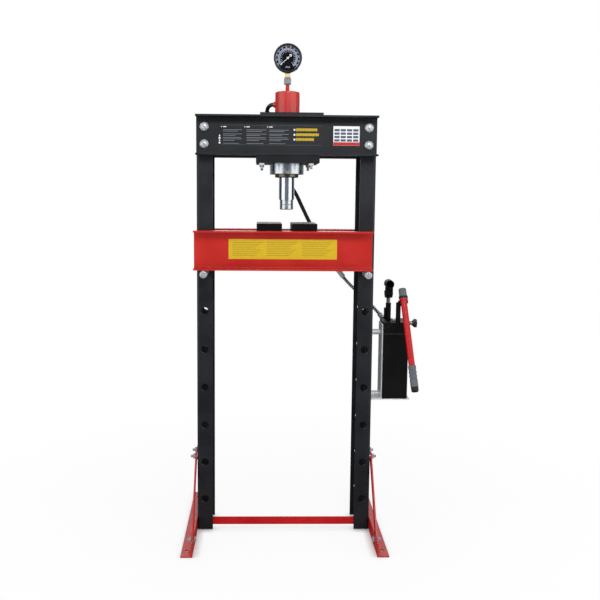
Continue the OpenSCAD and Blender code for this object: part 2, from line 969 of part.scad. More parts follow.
module gauge_dial() {
  dial_t = 1;
  color(black_paint)
    translate([ram_x, 0, gauge_z])
      difference() {
        rod_y(case_d - 2 * case_t - 2 * seat, dial_y, dial_t);
        rod_y(spindle_d + 2 * loose, dial_y - past, dial_t + 2 * past);
      }
}

module gauge_lens() {
  lip = 2;
  color("#dfe8ea", 0.35)
    translate([ram_x, 0, gauge_z])
      rod_y(case_d - 2 * case_t - 2 * seat, gauge_front + lip, lens_t);
}

// Needle with a wide tail, on a spindle that turns in the stem's post
module gauge_needle() {
  needle_t = 1;
  hub_d = 7;
  color("#f2f2f0")
    translate([ram_x, 0, gauge_z]) {
      translate([0, needle_y + needle_t, 0])
        rotate([90, 0, 0])
          linear_extrude(needle_t)
            rotate(needle_zero)
              union() {
                polygon([[needle_l, 0.4], [needle_l, -0.4], [0, -1.3], [-9, -1], [-13, -4],
                  [-needle_tail, 0], [-13, 4], [-9, 1], [0, 1.3]]);
                circle(d = hub_d);
              }
      rod_y(spindle_d, needle_y, dial_y - needle_y + 10);
    }
}

// Bed beam at the front; the rear one is its mirror image
module bed_beam() {
  translate([bed_shift, -half_d - bed_clear, bed_z])
    beam(bed_l, bed_h);
}

module front_bed_beam() {
  color(red_paint)
    bed_beam();
}

module rear_bed_beam() {
  color(red_paint)
    mirror([0, 1, 0])
      bed_beam();
}

// Plates welded between the bed beams, just inside the columns
module bed_spacers() {
  color(red_paint)
    for (side = [-1, 1])
      translate([bed_shift + side * spacer_x - spacer_t / 2, -half_d - bed_clear,
          bed_z + (bed_h - spacer_h) / 2])
        cube([spacer_t, column_d + 2 * bed_clear, spacer_h]);
}

// Loose pins in the column holes that carry the bed
module bed_pins() {
  pin_l = column_d + 2 * pin_out;
  color(zinc)
    for (side = [-1, 1])
      translate([side * column_mid, 0, pin_z]) {
        rod_y(pin_d, -pin_l / 2 + pin_chamfer, pin_l - 2 * pin_chamfer);
        for (end = [0, 1])
          mirror([0, end, 0])
            translate([0, -pin_l / 2, 0])
              rotate([-90, 0, 0])
                cylinder(d1 = pin_d - 2 * pin_chamfer, d2 = pin_d, h = pin_chamfer);
      }
}

// Loose block with chamfered edges that lies across the bed
module press_plate() {
  c = press_chamfer;
  w = press_plate_w;
  h = press_plate_t;
  translate([0, press_plate_d / 2, bed_top])
    rotate([90, 0, 0])
      linear_extrude(press_plate_d)
        polygon([[c, 0], [w - c, 0], [w, c], [w, h - c], [w - c, h], [c, h], [0, h - c], [0, c]]);
}

module left_press_plate() {
  color(black_paint)
    translate([ram_x - press_plate_gap / 2 - press_plate_w, 0, 0])
      press_plate();
}

module right_press_plate() {
  color(black_paint)
    translate([ram_x + press_plate_gap / 2, 0, 0])
      press_plate();
}

// Angle under the right column; bolt holes in its leg, anchor holes in its flange
module foot() {
  hole = small_bolt[0] + 2 * loose;
  difference() {
    translate([column_out, -foot_l / 2, 0])
      union() {
        cube([foot_w, foot_l, foot_t]);
        cube([foot_t, foot_l, foot_h]);
      }
    for (y = [-1, 1]) {
      translate([0, y * foot_bolt_y, foot_bolt_z])
        rod_x(hole, column_out - past, foot_t + 2 * past);
      translate([0, y * brace_foot_y, brace_foot_z])
        rod_x(hole, column_out - past, foot_t + 2 * past);
      translate([anchor_x, y * anchor_y, -past])
        cylinder(d = anchor_d, h = foot_t + 2 * past);
    }
  }
}

module left_foot() {
  color(red_paint)
    mirror([1, 0, 0])
      foot();
}

module right_foot() {
  color(red_paint)
    foot();
}

// Flat bar with round ends from the column's bolt to the foot's bolt
module brace() {
  run_y = brace_foot_y - brace_column_y;
  drop = brace_z - brace_foot_z;
  l = norm([run_y, drop]);
  translate([brace_x, -brace_column_y, brace_z])
    rotate([atan2(drop, run_y), 0, 0])
      rotate([0, 90, 0])
        linear_extrude(brace_t)
          difference() {
            union() {
              translate([-brace_w / 2, -l])
                square([brace_w, l]);
              circle(d = brace_w);
              translate([0, -l])
                circle(d = brace_w);
            }
            for (y = [0, -l])
              translate([0, y])
                circle(d = small_bolt[0] + 2 * loose);
          }
}

// Four braces, one at each end of both feet
module braces() {
  color(red_paint)
    for (side = [0, 1], end = [0, 1])
      mirror([side, 0, 0])
        mirror([0, end, 0])
          brace();
}

// Strip between the columns; its bent ends sit inside the channels
module cross_bar() {
  end = column_out - column_t;
  tab_y = half_d - bend_r;
  color(red_paint)
    difference() {
      translate([0, bar_y, bar_z])
        linear_extrude(bar_h)
          polygon([[-end, 0], [end, 0], [end, tab_y], [end - bar_t, tab_y], [end - bar_t, bar_t],
            [bar_t - end, bar_t], [bar_t - end, tab_y], [-end, tab_y]]);
      translate([0, -foot_bolt_y, foot_bolt_z])
        rod_x(small_bolt[0] + 2 * loose, -end - past, 2 * end + 2 * past);
    }
}

// Bolt sets that hold the feet, and the cross bar at the front, on the columns
module foot_bolts() {
  color(zinc)
    for (side = [0, 1], y = [-1, 1])
      mirror([side, 0, 0])
        translate([column_out + foot_t, y * foot_bolt_y, foot_bolt_z])
          rotate([0, -90, 0]) {
            grip = foot_t + column_t + (y < 0 ? bar_t : 0);
            bolt(small_bolt, grip + small_bolt[3] + bolt_end);
            translate([0, 0, grip])
              nut(small_bolt);
          }
}

// Bolt sets at both ends of the braces, with spacing washers on the columns
module brace_bolts() {
  color(zinc)
    for (side = [0, 1], y = [-1, 1])
      mirror([side, 0, 0]) {
        translate([column_out - column_t, y * brace_column_y, brace_z])
          rotate([0, 90, 0]) {
            grip = column_t + foot_t + brace_t;
            bolt(small_bolt, grip + small_bolt[3] + 2 * bolt_end);
            translate([0, 0, column_t])
              washer(small_bolt, foot_t);
            translate([0, 0, grip])
              nut(small_bolt);
          }
        translate([column_out, y * brace_foot_y, brace_foot_z])
          rotate([0, 90, 0]) {
            grip = foot_t + brace_t;
            bolt(small_bolt, grip + small_bolt[3] + bolt_end);
            translate([0, 0, grip])
              nut(small_bolt);
          }
      }
}

// Bent sheet beside the column: upright plate, shelf and two tapped bosses
module pump_bracket() {
  boss_thread = 25;
  color(zinc)
    difference() {
      union() {
        translate([bracket_x, -bracket_d / 2, shelf_z - bracket_t])
          cube([bracket_t, bracket_d, bracket_top - shelf_z + bracket_t]);
        translate([column_out + bracket_gap, -shelf_front, shelf_z - bracket_t])
          cube([standoff - bracket_gap + bracket_t + reservoir_w + shelf_over, 2 * shelf_front,
            bracket_t]);
        for (z = [boss_low, boss_high])
          translate([0, 0, z])
            rod_x(boss_d, column_out, standoff + bracket_t / 2);
      }
      for (z = [boss_low, boss_high])
        translate([0, 0, z])
          rod_x(small_bolt[0] + 2 * seat, column_out - past, boss_thread + past);
    }
}

// Bolts from inside the right column into the bracket's bosses
module bracket_bolts() {
  color(zinc)
    for (z = [boss_low, boss_high])
      translate([column_out - column_t, 0, z])
        rotate([0, 90, 0])
          bolt(small_bolt, column_t + boss_screw);
}

// Outline of the pump unit seen from above, with rounded corners
module pump_outline(inset) {
  r = 6 - inset;
  w = reservoir_w - 2 * inset;
  d = reservoir_d - 2 * inset;
  translate([reservoir_x + inset, -reservoir_d / 2 + inset])
    polygon(concat(arc(r, r, r, 180, 270, 4), arc(w - r, r, r, 270, 360, 4),
      arc(w - r, d - r, r, 0, 90, 4), arc(r, d - r, r, 90, 180, 4)));
}

// Oil tank, open at the top where the pump head closes it
module reservoir() {
  color(black_paint)
    difference() {
      translate([0, 0, shelf_z])
        linear_extrude(reservoir_h)
          pump_outline(0);
      translate([0, 0, shelf_z + reservoir_t])
        linear_extrude(reservoir_h)
          pump_outline(reservoir_t);
    }
}

// Pump block with the bores for the barrel, the valve, the plug and the outlet
module pump_head() {
  passage = 8;
  color(black_paint)
    difference() {
      translate([0, 0, pump_head_z])
        linear_extrude(pump_head_h)
          pump_outline(0);
      translate([barrel_x, 0, pump_top - barrel_seat])
        cylinder(d = barrel_d + 2 * seat, h = barrel_seat + past);
      translate([barrel_x, 0, pump_head_z - past])
        cylinder(d = passage, h = pump_head_h);
      translate([0, valve_y, valve_z])
        rod_x(valve_d + 2 * run, reservoir_x + reservoir_w - valve_seat - 2, valve_seat + 2 + past);
      translate([filler_x, filler_y, pump_top - barrel_seat])
        cylinder(d = filler_d + 2 * seat, h = barrel_seat + past);
      translate([pump_elbow[0], 0, pump_elbow[2]])
        rod_y(port_d + 2 * seat, reservoir_d / 2 - barrel_seat, barrel_seat + past);
    }
}

// Hexagon plug over the oil filler
module filler_plug() {
  color(zinc)
    translate([filler_x, filler_y, pump_top]) {
      cylinder(d = filler_af / cos(30), h = filler_h, $fn = 6);
      translate([0, 0, -filler_l])
        cylinder(d = filler_d, h = filler_l + past);
    }
}

// Barrel screwed into the pump head
module pump_barrel() {
  color(black_paint)
    translate([barrel_x, 0, pump_top - barrel_seat])
      difference() {
        cylinder(d = barrel_d, h = barrel_seat + barrel_h);
        translate([0, 0, -past])
          cylinder(d = plunger_d + 2 * run, h = barrel_seat + barrel_h + 2 * past);
      }
}

// Plunger with a forked top
module plunger() {
  foot_z = pump_top - barrel_seat + plunger_low;
  color(steel)
    translate([barrel_x, 0, 0])
      difference() {
        union() {
          translate([0, 0, foot_z])
            cylinder(d = plunger_d, h = clevis_z - foot_z + past);
          translate([-ear_gap / 2 - ear_t, -ear_r, clevis_z - clevis_base])
            cube([ear_gap + 2 * ear_t, 2 * ear_r, clevis_base + 1]);
          for (x = [-ear_gap / 2 - ear_t, ear_gap / 2])
            translate([x, 0, 0]) {
              translate([0, -ear_r, clevis_z])
                cube([ear_t, 2 * ear_r, lever_z - clevis_z]);
              translate([0, 0, lever_z])
                rod_x(2 * ear_r, 0, ear_t);
            }
        }
        translate([0, 0, lever_z])
          rod_x(lever_pin_d + 2 * seat, -ear_gap / 2 - ear_t - past, ear_gap + 2 * ear_t + 2 * past);
      }
}

module plunger_pin() {
  w = ear_gap + 2 * ear_t;
  color(zinc)
    translate([barrel_x, 0, lever_z]) {
      rod_x(lever_pin_d, -w / 2, w);
      for (x = [-w / 2 - lever_pin_head, w / 2])
        rod_x(lever_pin_d + 4, x, lever_pin_head);
    }
}

// Lever: a socket for the handle, a tongue on the plunger and a fork on the pivot
module lever_socket() {
  neck_w = 22;
  neck_z = lever_z + ear_r + 3;
  fork_y = 14;
  fork_left = blade_x - blade_play - fork_t;
  fork_w = blade_w + 2 * blade_play + 2 * fork_t;
  fork_r = 9;
  tongue_r = 8;
  color(black_paint)
    difference() {
      union() {
        translate([barrel_x, 0, socket_z])
          rod_y(socket_d, -socket_l, socket_l + fork_y);
        translate([barrel_x - neck_w / 2, -12, neck_z])
          cube([neck_w, 12 + fork_y, socket_z - neck_z - socket_bore / 2 - 1]);
        translate([barrel_x - tongue_w / 2, -tongue_r, lever_z])
          cube([tongue_w, 2 * tongue_r, neck_z - lever_z + past]);
        translate([barrel_x - tongue_w / 2, 0, lever_z])
          rod_x(2 * tongue_r, 0, tongue_w);
        translate([fork_left, fork_y - 4, neck_z])
          cube([fork_w, 10, socket_z - neck_z]);
        for (x = [fork_left, fork_left + fork_w - fork_t])
          translate([x, 0, 0]) {
            translate([0, fork_y - 4, lever_z - fork_r])
              cube([fork_t, 10, neck_z - lever_z + fork_r + past]);
            translate([0, fork_y, lever_z - fork_r])
              cube([fork_t, lever_arm - fork_y, 2 * fork_r]);
            translate([0, lever_arm, lever_z])
              rod_x(2 * fork_r, 0, fork_t);
          }
      }
      translate([barrel_x, 0, socket_z])
        rod_y(socket_bore, -socket_l - past, socket_l + fork_y - socket_wall + past);
      for (y = [-slot_half, slot_half])
        translate([barrel_x, y, lever_z])
          rod_x(lever_pin_d + 2 * slot_play, -tongue_w / 2 - past, tongue_w + 2 * past);
      translate([barrel_x - tongue_w / 2 - past, -slot_half, lever_z - lever_pin_d / 2 - slot_play])
        cube([tongue_w + 2 * past, 2 * slot_half, lever_pin_d + 2 * slot_play]);
      translate([0, lever_arm, lever_z])
        rod_x(lever_pin_d + 2 * run, fork_left - past, fork_w + 2 * past);
    }
}

// Post behind the barrel that carries the lever's pivot
module fulcrum_post() {
  depth = 16;
  color(black_paint)
    difference() {
      union() {
        translate([barrel_x - lug_w / 2 + 1, lever_arm - depth / 2, pump_top])
          cube([lug_w, reservoir_d / 2 - lever_arm + depth / 2, lug_h]);
        translate([blade_x, lever_arm - depth / 2, pump_top])
          cube([blade_w, depth, lever_z - pump_top]);
        translate([blade_x, lever_arm, lever_z])
          rod_x(depth, 0, blade_w);
      }
      translate([blade_x, lever_arm, lever_z])
        rod_x(lever_pin_d + 2 * seat, -past, blade_w + 2 * past);
    }
}

module fulcrum_pin() {
  left = blade_x - blade_play - fork_t - blade_play;
  l = blade_w + 4 * blade_play + 2 * fork_t;
  color(zinc)
    translate([0, lever_arm, lever_z]) {
      rod_x(lever_pin_d, left, l);
      for (x = [left - lever_pin_head, left + l])
        rod_x(lever_pin_d + 4, x, lever_pin_head);
    }
}

// Frame of the stored handle: z runs up its leaning axis from the saddle
module on_handle_axis() {
  translate([saddle_x, handle_y, saddle_z])
    rotate([-handle_tilt, -handle_lean, 0])
      children();
}

// Post on the pump head with a saddle, open to the front, that the handle hangs in
module handle_holder() {
  outer = handle_d / 2 + seat + saddle_t;
  color(black_paint) {
    translate([post_x, post_y, pump_top])
      cylinder(d = post_d, h = post_h);
    difference() {
      union() {
        on_handle_axis()
          translate([0, 0, -saddle_h])
            rotate_extrude(angle = 180)
              translate([handle_d / 2 + seat, 0])
                square([saddle_t, saddle_h]);
        translate([post_x - 2, handle_y + outer - 2 * saddle_t, pump_top + post_h - arm_t])
          cube([14, post_y - handle_y - outer + 2 * saddle_t, arm_t + saddle_rise - saddle_h / 2]);
      }
      on_handle_axis()
        translate([0, 0, -2 * saddle_h])
          cylinder(d = handle_d + 2 * seat, h = 4 * saddle_h);
    }
  }
}

// Red tube with a collar that rests on the saddle
module handle_tube() {
  color(red_paint)
    on_handle_axis()
      difference() {
        union() {
          translate([0, 0, collar_l + cap_l - handle_l])
            cylinder(d = handle_d, h = handle_l);
          cylinder(d = collar_d, h = collar_l);
        }
        translate([0, 0, collar_l + cap_l - handle_l - past])
          cylinder(d = handle_d - 2 * handle_t, h = handle_l + 2 * past);
      }
}

// Moulded cap over the tube's top end
module handle_cap() {
  wall = 3;
  dome = 3;
  color(grey_rubber)
    on_handle_axis()
      translate([0, 0, collar_l + seat])
        difference() {
          union() {
            cylinder(d = cap_d, h = cap_l);
            translate([0, 0, cap_l])
              cylinder(d1 = cap_d, d2 = cap_d - 2 * dome, h = dome);
          }
          translate([0, 0, -past])
            cylinder(d = handle_d + 2 * seat, h = cap_l + past);
        }
}

// Moulded grip over the tube's lower end, with finger grooves and a closed end
module handle_grip() {
  groove_w = 5;
  groove = 1;
  end_t = 4;
  tube_end = collar_l + cap_l - handle_l;
  color(grey_rubber)
    on_handle_axis()
      translate([0, 0, tube_end - end_t])
        difference() {
          union() {
            cylinder(d1 = grip_d - 4, d2 = grip_d, h = 2);
            translate([0, 0, 2])
              cylinder(d = grip_d, h = grip_l - 2);
          }
          translate([0, 0, end_t - seat])
            cylinder(d = handle_d + 2 * seat, h = grip_l);
          for (i = [1 : 3])
            translate([0, 0, grip_l * (0.35 + 0.15 * i)])
              difference() {
                cylinder(d = grip_d + 2 * past, h = groove_w);
                translate([0, 0, -past])
                  cylinder(d = grip_d - 2 * groove, h = groove_w + 2 * past);
              }
        }
}

// Stem that opens and shuts the return to the reservoir
module release_valve() {
  right = reservoir_x + reservoir_w;
  color(chrome)
    translate([0, valve_y, valve_z])
      rod_x(valve_d, right - valve_seat, valve_seat + valve_out);
}

module valve_knob() {
  right = reservoir_x + reservoir_w;
  lobe_d = knob_d / 3.6;
  color(black_paint)
    translate([0, valve_y, valve_z])
      difference() {
        translate([right + valve_out - 3, 0, 0])
          rotate([0, 90, 0])
            union() {
              cylinder(d = knob_d - lobe_d, h = knob_t);
              for (i = [0 : knob_lobes - 1])
                rotate(360 * i / knob_lobes)
                  translate([(knob_d - lobe_d) / 2, 0, 0])
                    cylinder(d = lobe_d, h = knob_t);
            }
        rod_x(valve_d + 2 * seat, right, valve_out);
      }
}

// Elbows at both ends of the hose
module elbow(corner, inward, l_in, outlet) {
  color(zinc) {
    translate(corner)
      sphere(d = elbow_d + 2);
    translate(corner)
      rotate([0, acos(inward[2]), atan2(inward[1], inward[0])]) {
        cylinder(d = elbow_d, h = l_in - barrel_seat);
        cylinder(d = port_d, h = l_in);
      }
    way = outlet - corner;
    translate(corner)
      rotate([0, acos(way[2] / norm(way)), atan2(way[1], way[0])])
        cylinder(d = port_d, h = norm(way));
  }
}

// Bent tube from the cylinder's port to the hose
module swept_elbow() {
  color(zinc)
    translate([upper_elbow_x, 0, port_z]) {
      rod_x(port_d, -past / 2, barrel_seat);
      translate([0, elbow_bend, 0])
        rotate(180)
          rotate_extrude(angle = 90)
            translate([elbow_bend, 0])
              circle(d = elbow_d);
    }
}

module hose_elbows() {
  swept_elbow();
  elbow(pump_elbow, [0, -1, 0], pump_elbow[1] - reservoir_d / 2 + barrel_seat,
    hose_route[hose_end]);
}

module hose() {
  n = len(hose_route);
  points = [for (i = [0 : n - 1]) each ring(hose_route, i, hose_d / 2)];
  walls = [for (i = [0 : n - 2], k = [0 : hose_sides - 1])
    let (a = i * hose_sides + k, b = i * hose_sides + (k + 1) % hose_sides)
    [a, b, b + hose_sides, a + hose_sides]];
  ends = [[for (k = [hose_sides - 1 : -1 : 0]) k],
    [for (k = [0 : hose_sides - 1]) (n - 1) * hose_sides + k]];
  color(black_rubber)
    polyhedron(points, concat(walls, ends), convexity = 6);
}

// Crimped ferrules at the hose ends and at the start of its wire guard
module ferrule(from, way) {
  translate(from)
    rotate([0, acos(way[2]), atan2(way[1], way[0])])
      difference() {
        cylinder(d = fitting_d, h = fitting_l);
        translate([0, 0, -past])
          cylinder(d = hose_d + 2 * fitting_play, h = fitting_l + 2 * past);
      }
}

module hose_fittings() {
  color(zinc) {
    ferrule(hose_route[0], along(hose_route, 0));
    ferrule(hose_route[hose_end], -along(hose_route, hose_end));
    ferrule(hose_route[clip_at] - along(hose_route, clip_at) * fitting_l / 2,
      along(hose_route, clip_at));
  }
}

left_column();
right_column();
front_head_beam();
rear_head_beam();
head_bolts();
top_plate();
ram_plate();
ram_plate_bolts();
cylinder_body();  // cylinder
lock_ring();
gland();
rod_wiper();
ram();
ram_nose();
piston();
piston_seal();
upper_spring_plug();
lower_spring_plug();
return_spring();
gauge_pipe();
gauge_coupling();
gauge_stem();
bourdon_tube();
gauge_case();
gauge_bezel();
gauge_dial();
gauge_lens();
gauge_needle();
front_bed_beam();
rear_bed_beam();
bed_spacers();
bed_pins();
left_press_plate();
right_press_plate();
left_foot();
right_foot();
braces();
cross_bar();
foot_bolts();
brace_bolts();
pump_bracket();
bracket_bolts();
reservoir();
pump_head();
filler_plug();
pump_barrel();
plunger();
plunger_pin();
lever_socket();
fulcrum_post();
fulcrum_pin();
handle_holder();
handle_tube();
handle_cap();
handle_grip();
release_valve();
valve_knob();
hose_elbows();
hose();
hose_fittings();
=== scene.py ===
# %% [markdown]
# # Dressing a hydraulic workshop press
# The solids come from CAD as a fixed frame, already in metres and in place. This lesson adds
# what the eye needs: finishes, softened edges, real fasteners, the gauge's face and the hose.

# %% Load the frame
import json
from math import cos, pi, radians, sin, sqrt

import bmesh
import bpy
from mathutils import Matrix, Vector
from mathutils.geometry import interpolate_bezier

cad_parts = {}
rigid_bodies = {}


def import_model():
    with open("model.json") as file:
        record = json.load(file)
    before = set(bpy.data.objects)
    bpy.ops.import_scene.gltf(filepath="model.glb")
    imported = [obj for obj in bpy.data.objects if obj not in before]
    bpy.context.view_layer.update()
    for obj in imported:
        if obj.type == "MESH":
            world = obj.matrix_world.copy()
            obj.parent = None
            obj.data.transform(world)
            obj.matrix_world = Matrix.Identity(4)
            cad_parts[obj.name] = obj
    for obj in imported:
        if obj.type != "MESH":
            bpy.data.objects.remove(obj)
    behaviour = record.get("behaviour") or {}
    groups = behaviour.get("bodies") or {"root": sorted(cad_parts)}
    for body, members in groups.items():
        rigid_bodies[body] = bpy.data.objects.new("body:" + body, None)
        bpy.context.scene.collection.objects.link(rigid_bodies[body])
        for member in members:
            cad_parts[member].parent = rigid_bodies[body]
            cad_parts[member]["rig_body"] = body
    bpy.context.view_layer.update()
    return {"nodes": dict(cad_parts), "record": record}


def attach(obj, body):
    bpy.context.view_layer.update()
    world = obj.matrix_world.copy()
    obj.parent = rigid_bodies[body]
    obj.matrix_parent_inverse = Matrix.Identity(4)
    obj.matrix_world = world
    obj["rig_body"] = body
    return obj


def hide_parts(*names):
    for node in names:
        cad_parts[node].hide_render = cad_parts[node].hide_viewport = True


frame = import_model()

MM = 0.001
MERGE = 0.002 * MM
scene = bpy.context.scene
scene.view_settings.view_transform = "Standard"
slot_of = {part["node"]: part["material_slot"] for part in frame["record"]["subparts"]}

# %% [markdown]
# ## Camera
# The photograph was taken from a little left of the middle, at about the height of the bed,
# and cropped off centre. A camera could be aimed by eye, but the edges of the columns and
# beams fix it: its place, turn, lens and shift below put them where the photograph has them.

# %% Camera
camera_data = bpy.data.cameras.new("photo_camera")
camera_data.sensor_width = 36
camera_data.lens = 46.056
camera_data.shift_x = 0.0362
camera_data.shift_y = -0.0410
camera = bpy.data.objects.new("photo_camera", camera_data)
camera.location = (-0.0837, -2.7333, 1.2091)
camera.rotation_euler = [radians(a) for a in (83.95782, -0.44551, -1.20384)]
scene.collection.objects.link(camera)
scene.camera = camera
print("camera at", tuple(round(x, 3) for x in camera.location))

# %% [markdown]
# ## Colours and nodes
# A paint chart gives colours as sRGB hex values, but a shader adds light in linear values, so
# one function turns one into the other. A second one adds a node with its settings and links:
# a socket as an input value means a link, anything else is a constant.


# %% Colour and node helpers
def linear(code):
    values = [int(code[i : i + 2], 16) / 255 for i in (1, 3, 5)]
    return [v / 12.92 if v <= 0.04045 else ((v + 0.055) / 1.055) ** 2.4 for v in values] + [1.0]


def add(tree, kind, inputs=(), **settings):
    node = tree.nodes.new("ShaderNode" + kind)
    for name, value in settings.items():
        setattr(node, name, value)
    for name, value in dict(inputs).items():
        if isinstance(value, bpy.types.NodeSocket):
            tree.links.new(value, node.inputs[name])
        else:
            node.inputs[name].default_value = value
    return node


def new_finish(name):
    finish = bpy.data.materials.new(name)
    finish.use_nodes = True
    tree = finish.node_tree
    place = add(tree, "TexCoord").outputs["Object"]
    return finish, tree, tree.nodes["Principled BSDF"], place


def blend_colours(tree, factor, first, second, low=0.35, high=0.65):
    ramp = add(tree, "ValToRGB", {"Fac": factor})
    ramp.color_ramp.elements[0].position = low
    ramp.color_ramp.elements[0].color = linear(first)
    ramp.color_ramp.elements[1].position = high
    ramp.color_ramp.elements[1].color = linear(second)
    return ramp.outputs["Color"]


print("white is", linear("#ffffff"))

# %% [markdown]
# ## Rubber of the hose
# The hose is extruded rubber over braid: matt, very dark, with a faint cloth print left by the
# wrapping. A flat black would look like a hole, so a fine noise breaks the shine. The print is
# 1.5 mm wide on a real hose, and it is drawn at 3 mm so that it shows.


# %% Rubber finish
def rubber(name, dark, light, grain, roughness, gloss=0.3):
    finish, tree, shader, place = new_finish(name)
    shader.inputs["Specular IOR Level"].default_value = gloss
    specks = add(tree, "TexNoise", {"Vector": place, "Scale": 1 / grain, "Detail": 4.0})
    colour = blend_colours(tree, specks.outputs["Fac"], dark, light)
    tree.links.new(colour, shader.inputs["Base Color"])
    shine = add(tree, "MapRange", {"Value": specks.outputs["Fac"],
                                   "To Min": roughness - 0.12, "To Max": roughness + 0.12})
    tree.links.new(shine.outputs["Result"], shader.inputs["Roughness"])
    bump = add(tree, "Bump", {"Height": specks.outputs["Fac"], "Strength": 0.35,
                              "Distance": 0.2 * MM})
    tree.links.new(bump.outputs["Normal"], shader.inputs["Normal"])
    return finish


hose_rubber = rubber("extruded_rubber", "#111112", "#1e1f20", 3 * MM, 0.62)
print("made", hose_rubber.name)

# %% [markdown]
# ## Hose
# A high-pressure hose leaves the elbow on the cylinder, hangs over the back of the head and
# drops to the pump, where a coiled wire guard keeps it from kinking. A curve with a round
# bevel is the natural way to make it: one smooth line along the route of the CAD solid. Near
# the cylinder the line leaves that route by up to 18 mm, to keep to the photograph. Under the
# guard the hose is drawn thinner, so that hose and wire together are about as thick as the CAD
# hose. The guard is a second line that winds round the first.


# %% Curve helpers
def new_curve(name, radius, rounds):
    curve = bpy.data.curves.new(name, "CURVE")
    curve.dimensions = "3D"
    curve.bevel_depth = radius
    curve.bevel_resolution = rounds
    curve.use_fill_caps = True
    return curve


def add_smooth_line(curve, points):
    line = curve.splines.new("BEZIER")
    line.bezier_points.add(len(points) - 1)
    for knot, point in zip(line.bezier_points, points):
        knot.co = point
        knot.handle_left_type = knot.handle_right_type = "AUTO"
    return line


def take_mesh(data):
    """The mesh of a curve or a text, whose own object is not kept."""
    holder = bpy.data.objects.new(data.name, data)
    scene.collection.objects.link(holder)
    mesh = bpy.data.meshes.new_from_object(
        holder.evaluated_get(bpy.context.evaluated_depsgraph_get()))
    bpy.data.objects.remove(holder)
    return mesh


print("curve helpers ready")

# %% Hose
HOSE_D = 14 * MM
GUARD_FROM, GUARD_TO, THIN_SHARE = 19, 27, 0.76
hose_route = [Vector(point) * MM for point in (
    (-67, 21, 1503), (-67.5, 36, 1496.8), (-67, 56, 1492), (-65, 80, 1488.5), (-62, 104, 1483),
    (-59, 126, 1473), (-56, 141, 1459), (-52, 152, 1438), (-47, 158, 1411), (-40, 160, 1380),
    (-30, 159, 1345), (-17, 157, 1308), (6, 154, 1264), (39, 150, 1217), (66, 147, 1163),
    (92, 144, 1110), (120, 141, 1058), (149, 139, 1010), (178, 136, 964), (206, 133, 924),
    (231, 128, 892), (256, 121, 866), (279, 111, 846), (299, 101, 828), (317, 91, 810),
    (333, 82, 793), (348, 78, 776.5), (364, 78, 758.5))]
hose_curve = new_curve("pump_hose", HOSE_D / 2, 5)
hose_curve.resolution_u = 6
hose_line = add_smooth_line(hose_curve, hose_route)
for knot in hose_line.bezier_points[GUARD_FROM + 1 :]:
    knot.radius = THIN_SHARE
hose = bpy.data.objects.new("pump_hose", hose_curve)
scene.collection.objects.link(hose)
bpy.context.view_layer.update()


# %% Dressing helper
def dress(piece, finishes, body, slot, *nodes):
    if piece.name not in scene.collection.objects:
        scene.collection.objects.link(piece)
    for finish in finishes:
        piece.data.materials.append(finish)
    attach(piece, body)
    if nodes:
        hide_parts(*nodes)
    return piece


dress(hose, [hose_rubber], "frame", slot_of["hose"], "hose")

# %% [markdown]
# ## Wire guard of the hose
# The guard is spring wire wound with a 7.5 mm pitch, from the ferrule in the hose's middle to
# the pump's elbow. It could be an array along a curve, but then the turns would be sheared in
# the bends. Here the hose's own line is walked in equal steps, and each step turns the wire.

# %% Wire guard
GUARD_PITCH, GUARD_WIRE_R, GUARD_COIL_R, TURN_STEPS = 7.5 * MM, 1.6 * MM, 5.7 * MM, 12
knots = hose_line.bezier_points
middle = []
for a, b in zip(knots[GUARD_FROM:GUARD_TO], knots[GUARD_FROM + 1 : GUARD_TO + 1]):
    middle += interpolate_bezier(a.co, a.handle_right, b.handle_left, b.co, 9)[:-1]
coil = []
walked, step = 0.0, GUARD_PITCH / TURN_STEPS
for a, b in zip(middle, middle[1:]):
    span = (b - a).length
    along = (b - a).normalized()
    side = along.cross(Vector((1, 0.3, 0.6))).normalized()
    over = along.cross(side)
    while len(coil) * step < walked + span:
        done = len(coil) * step
        turn = 2 * pi * done / GUARD_PITCH
        outward = side * cos(turn) + over * sin(turn)
        coil.append(a + along * (done - walked) + GUARD_COIL_R * outward)
    walked += span
guard_curve = new_curve("guard_line", GUARD_WIRE_R, 1)
wire = guard_curve.splines.new("POLY")
wire.points.add(len(coil) - 1)
for knot, point in zip(wire.points, coil):
    knot.co = (*point, 1)
guard_mesh = take_mesh(guard_curve)
hose_guard = bpy.data.objects.new("hose_guard", guard_mesh)
guard_mesh.shade_smooth()
print("guard turns", round(walked / GUARD_PITCH, 1), "faces", len(guard_mesh.polygons))

# %% [markdown]
# ## Floor and light
# A product shot on white: the floor and the world are white to the camera, and the object is
# lit by two wide softboxes at the sides and one above the camera. Chrome mirrors the softboxes
# as two upright bands with a dark middle, so the room in front is dark to glossy rays. The
# floor keeps part of its own shading near the feet, which leaves their soft shadow, and it is
# darker in reflections, so that shiny metal keeps its contrast.

# %% World
world = bpy.data.worlds.new("studio")
scene.world = world
world.use_nodes = True
sky = world.node_tree
sky.nodes.clear()
ray = add(sky, "LightPath")
toward = add(sky, "SeparateXYZ", {"Vector": add(sky, "TexCoord").outputs["Generated"]})
behind = add(sky, "MapRange", {"Value": toward.outputs["Y"], "From Min": 0.8, "From Max": 0.95})
mirrored = add(sky, "MixRGB", {"Fac": behind.outputs["Result"], "Color1": linear("#757d87"),
                               "Color2": linear("#ffffff")})
room = add(sky, "MixRGB", {"Fac": ray.outputs["Is Glossy Ray"], "Color1": linear("#c2c3c6"),
                           "Color2": mirrored.outputs["Color"]})
seen = add(sky, "Math", {0: ray.outputs["Is Camera Ray"], 1: ray.outputs["Is Transmission Ray"]},
           operation="MAXIMUM")
level = add(sky, "MixRGB", {"Fac": seen.outputs["Value"], "Color1": room.outputs["Color"],
                            "Color2": linear("#ffffff")})
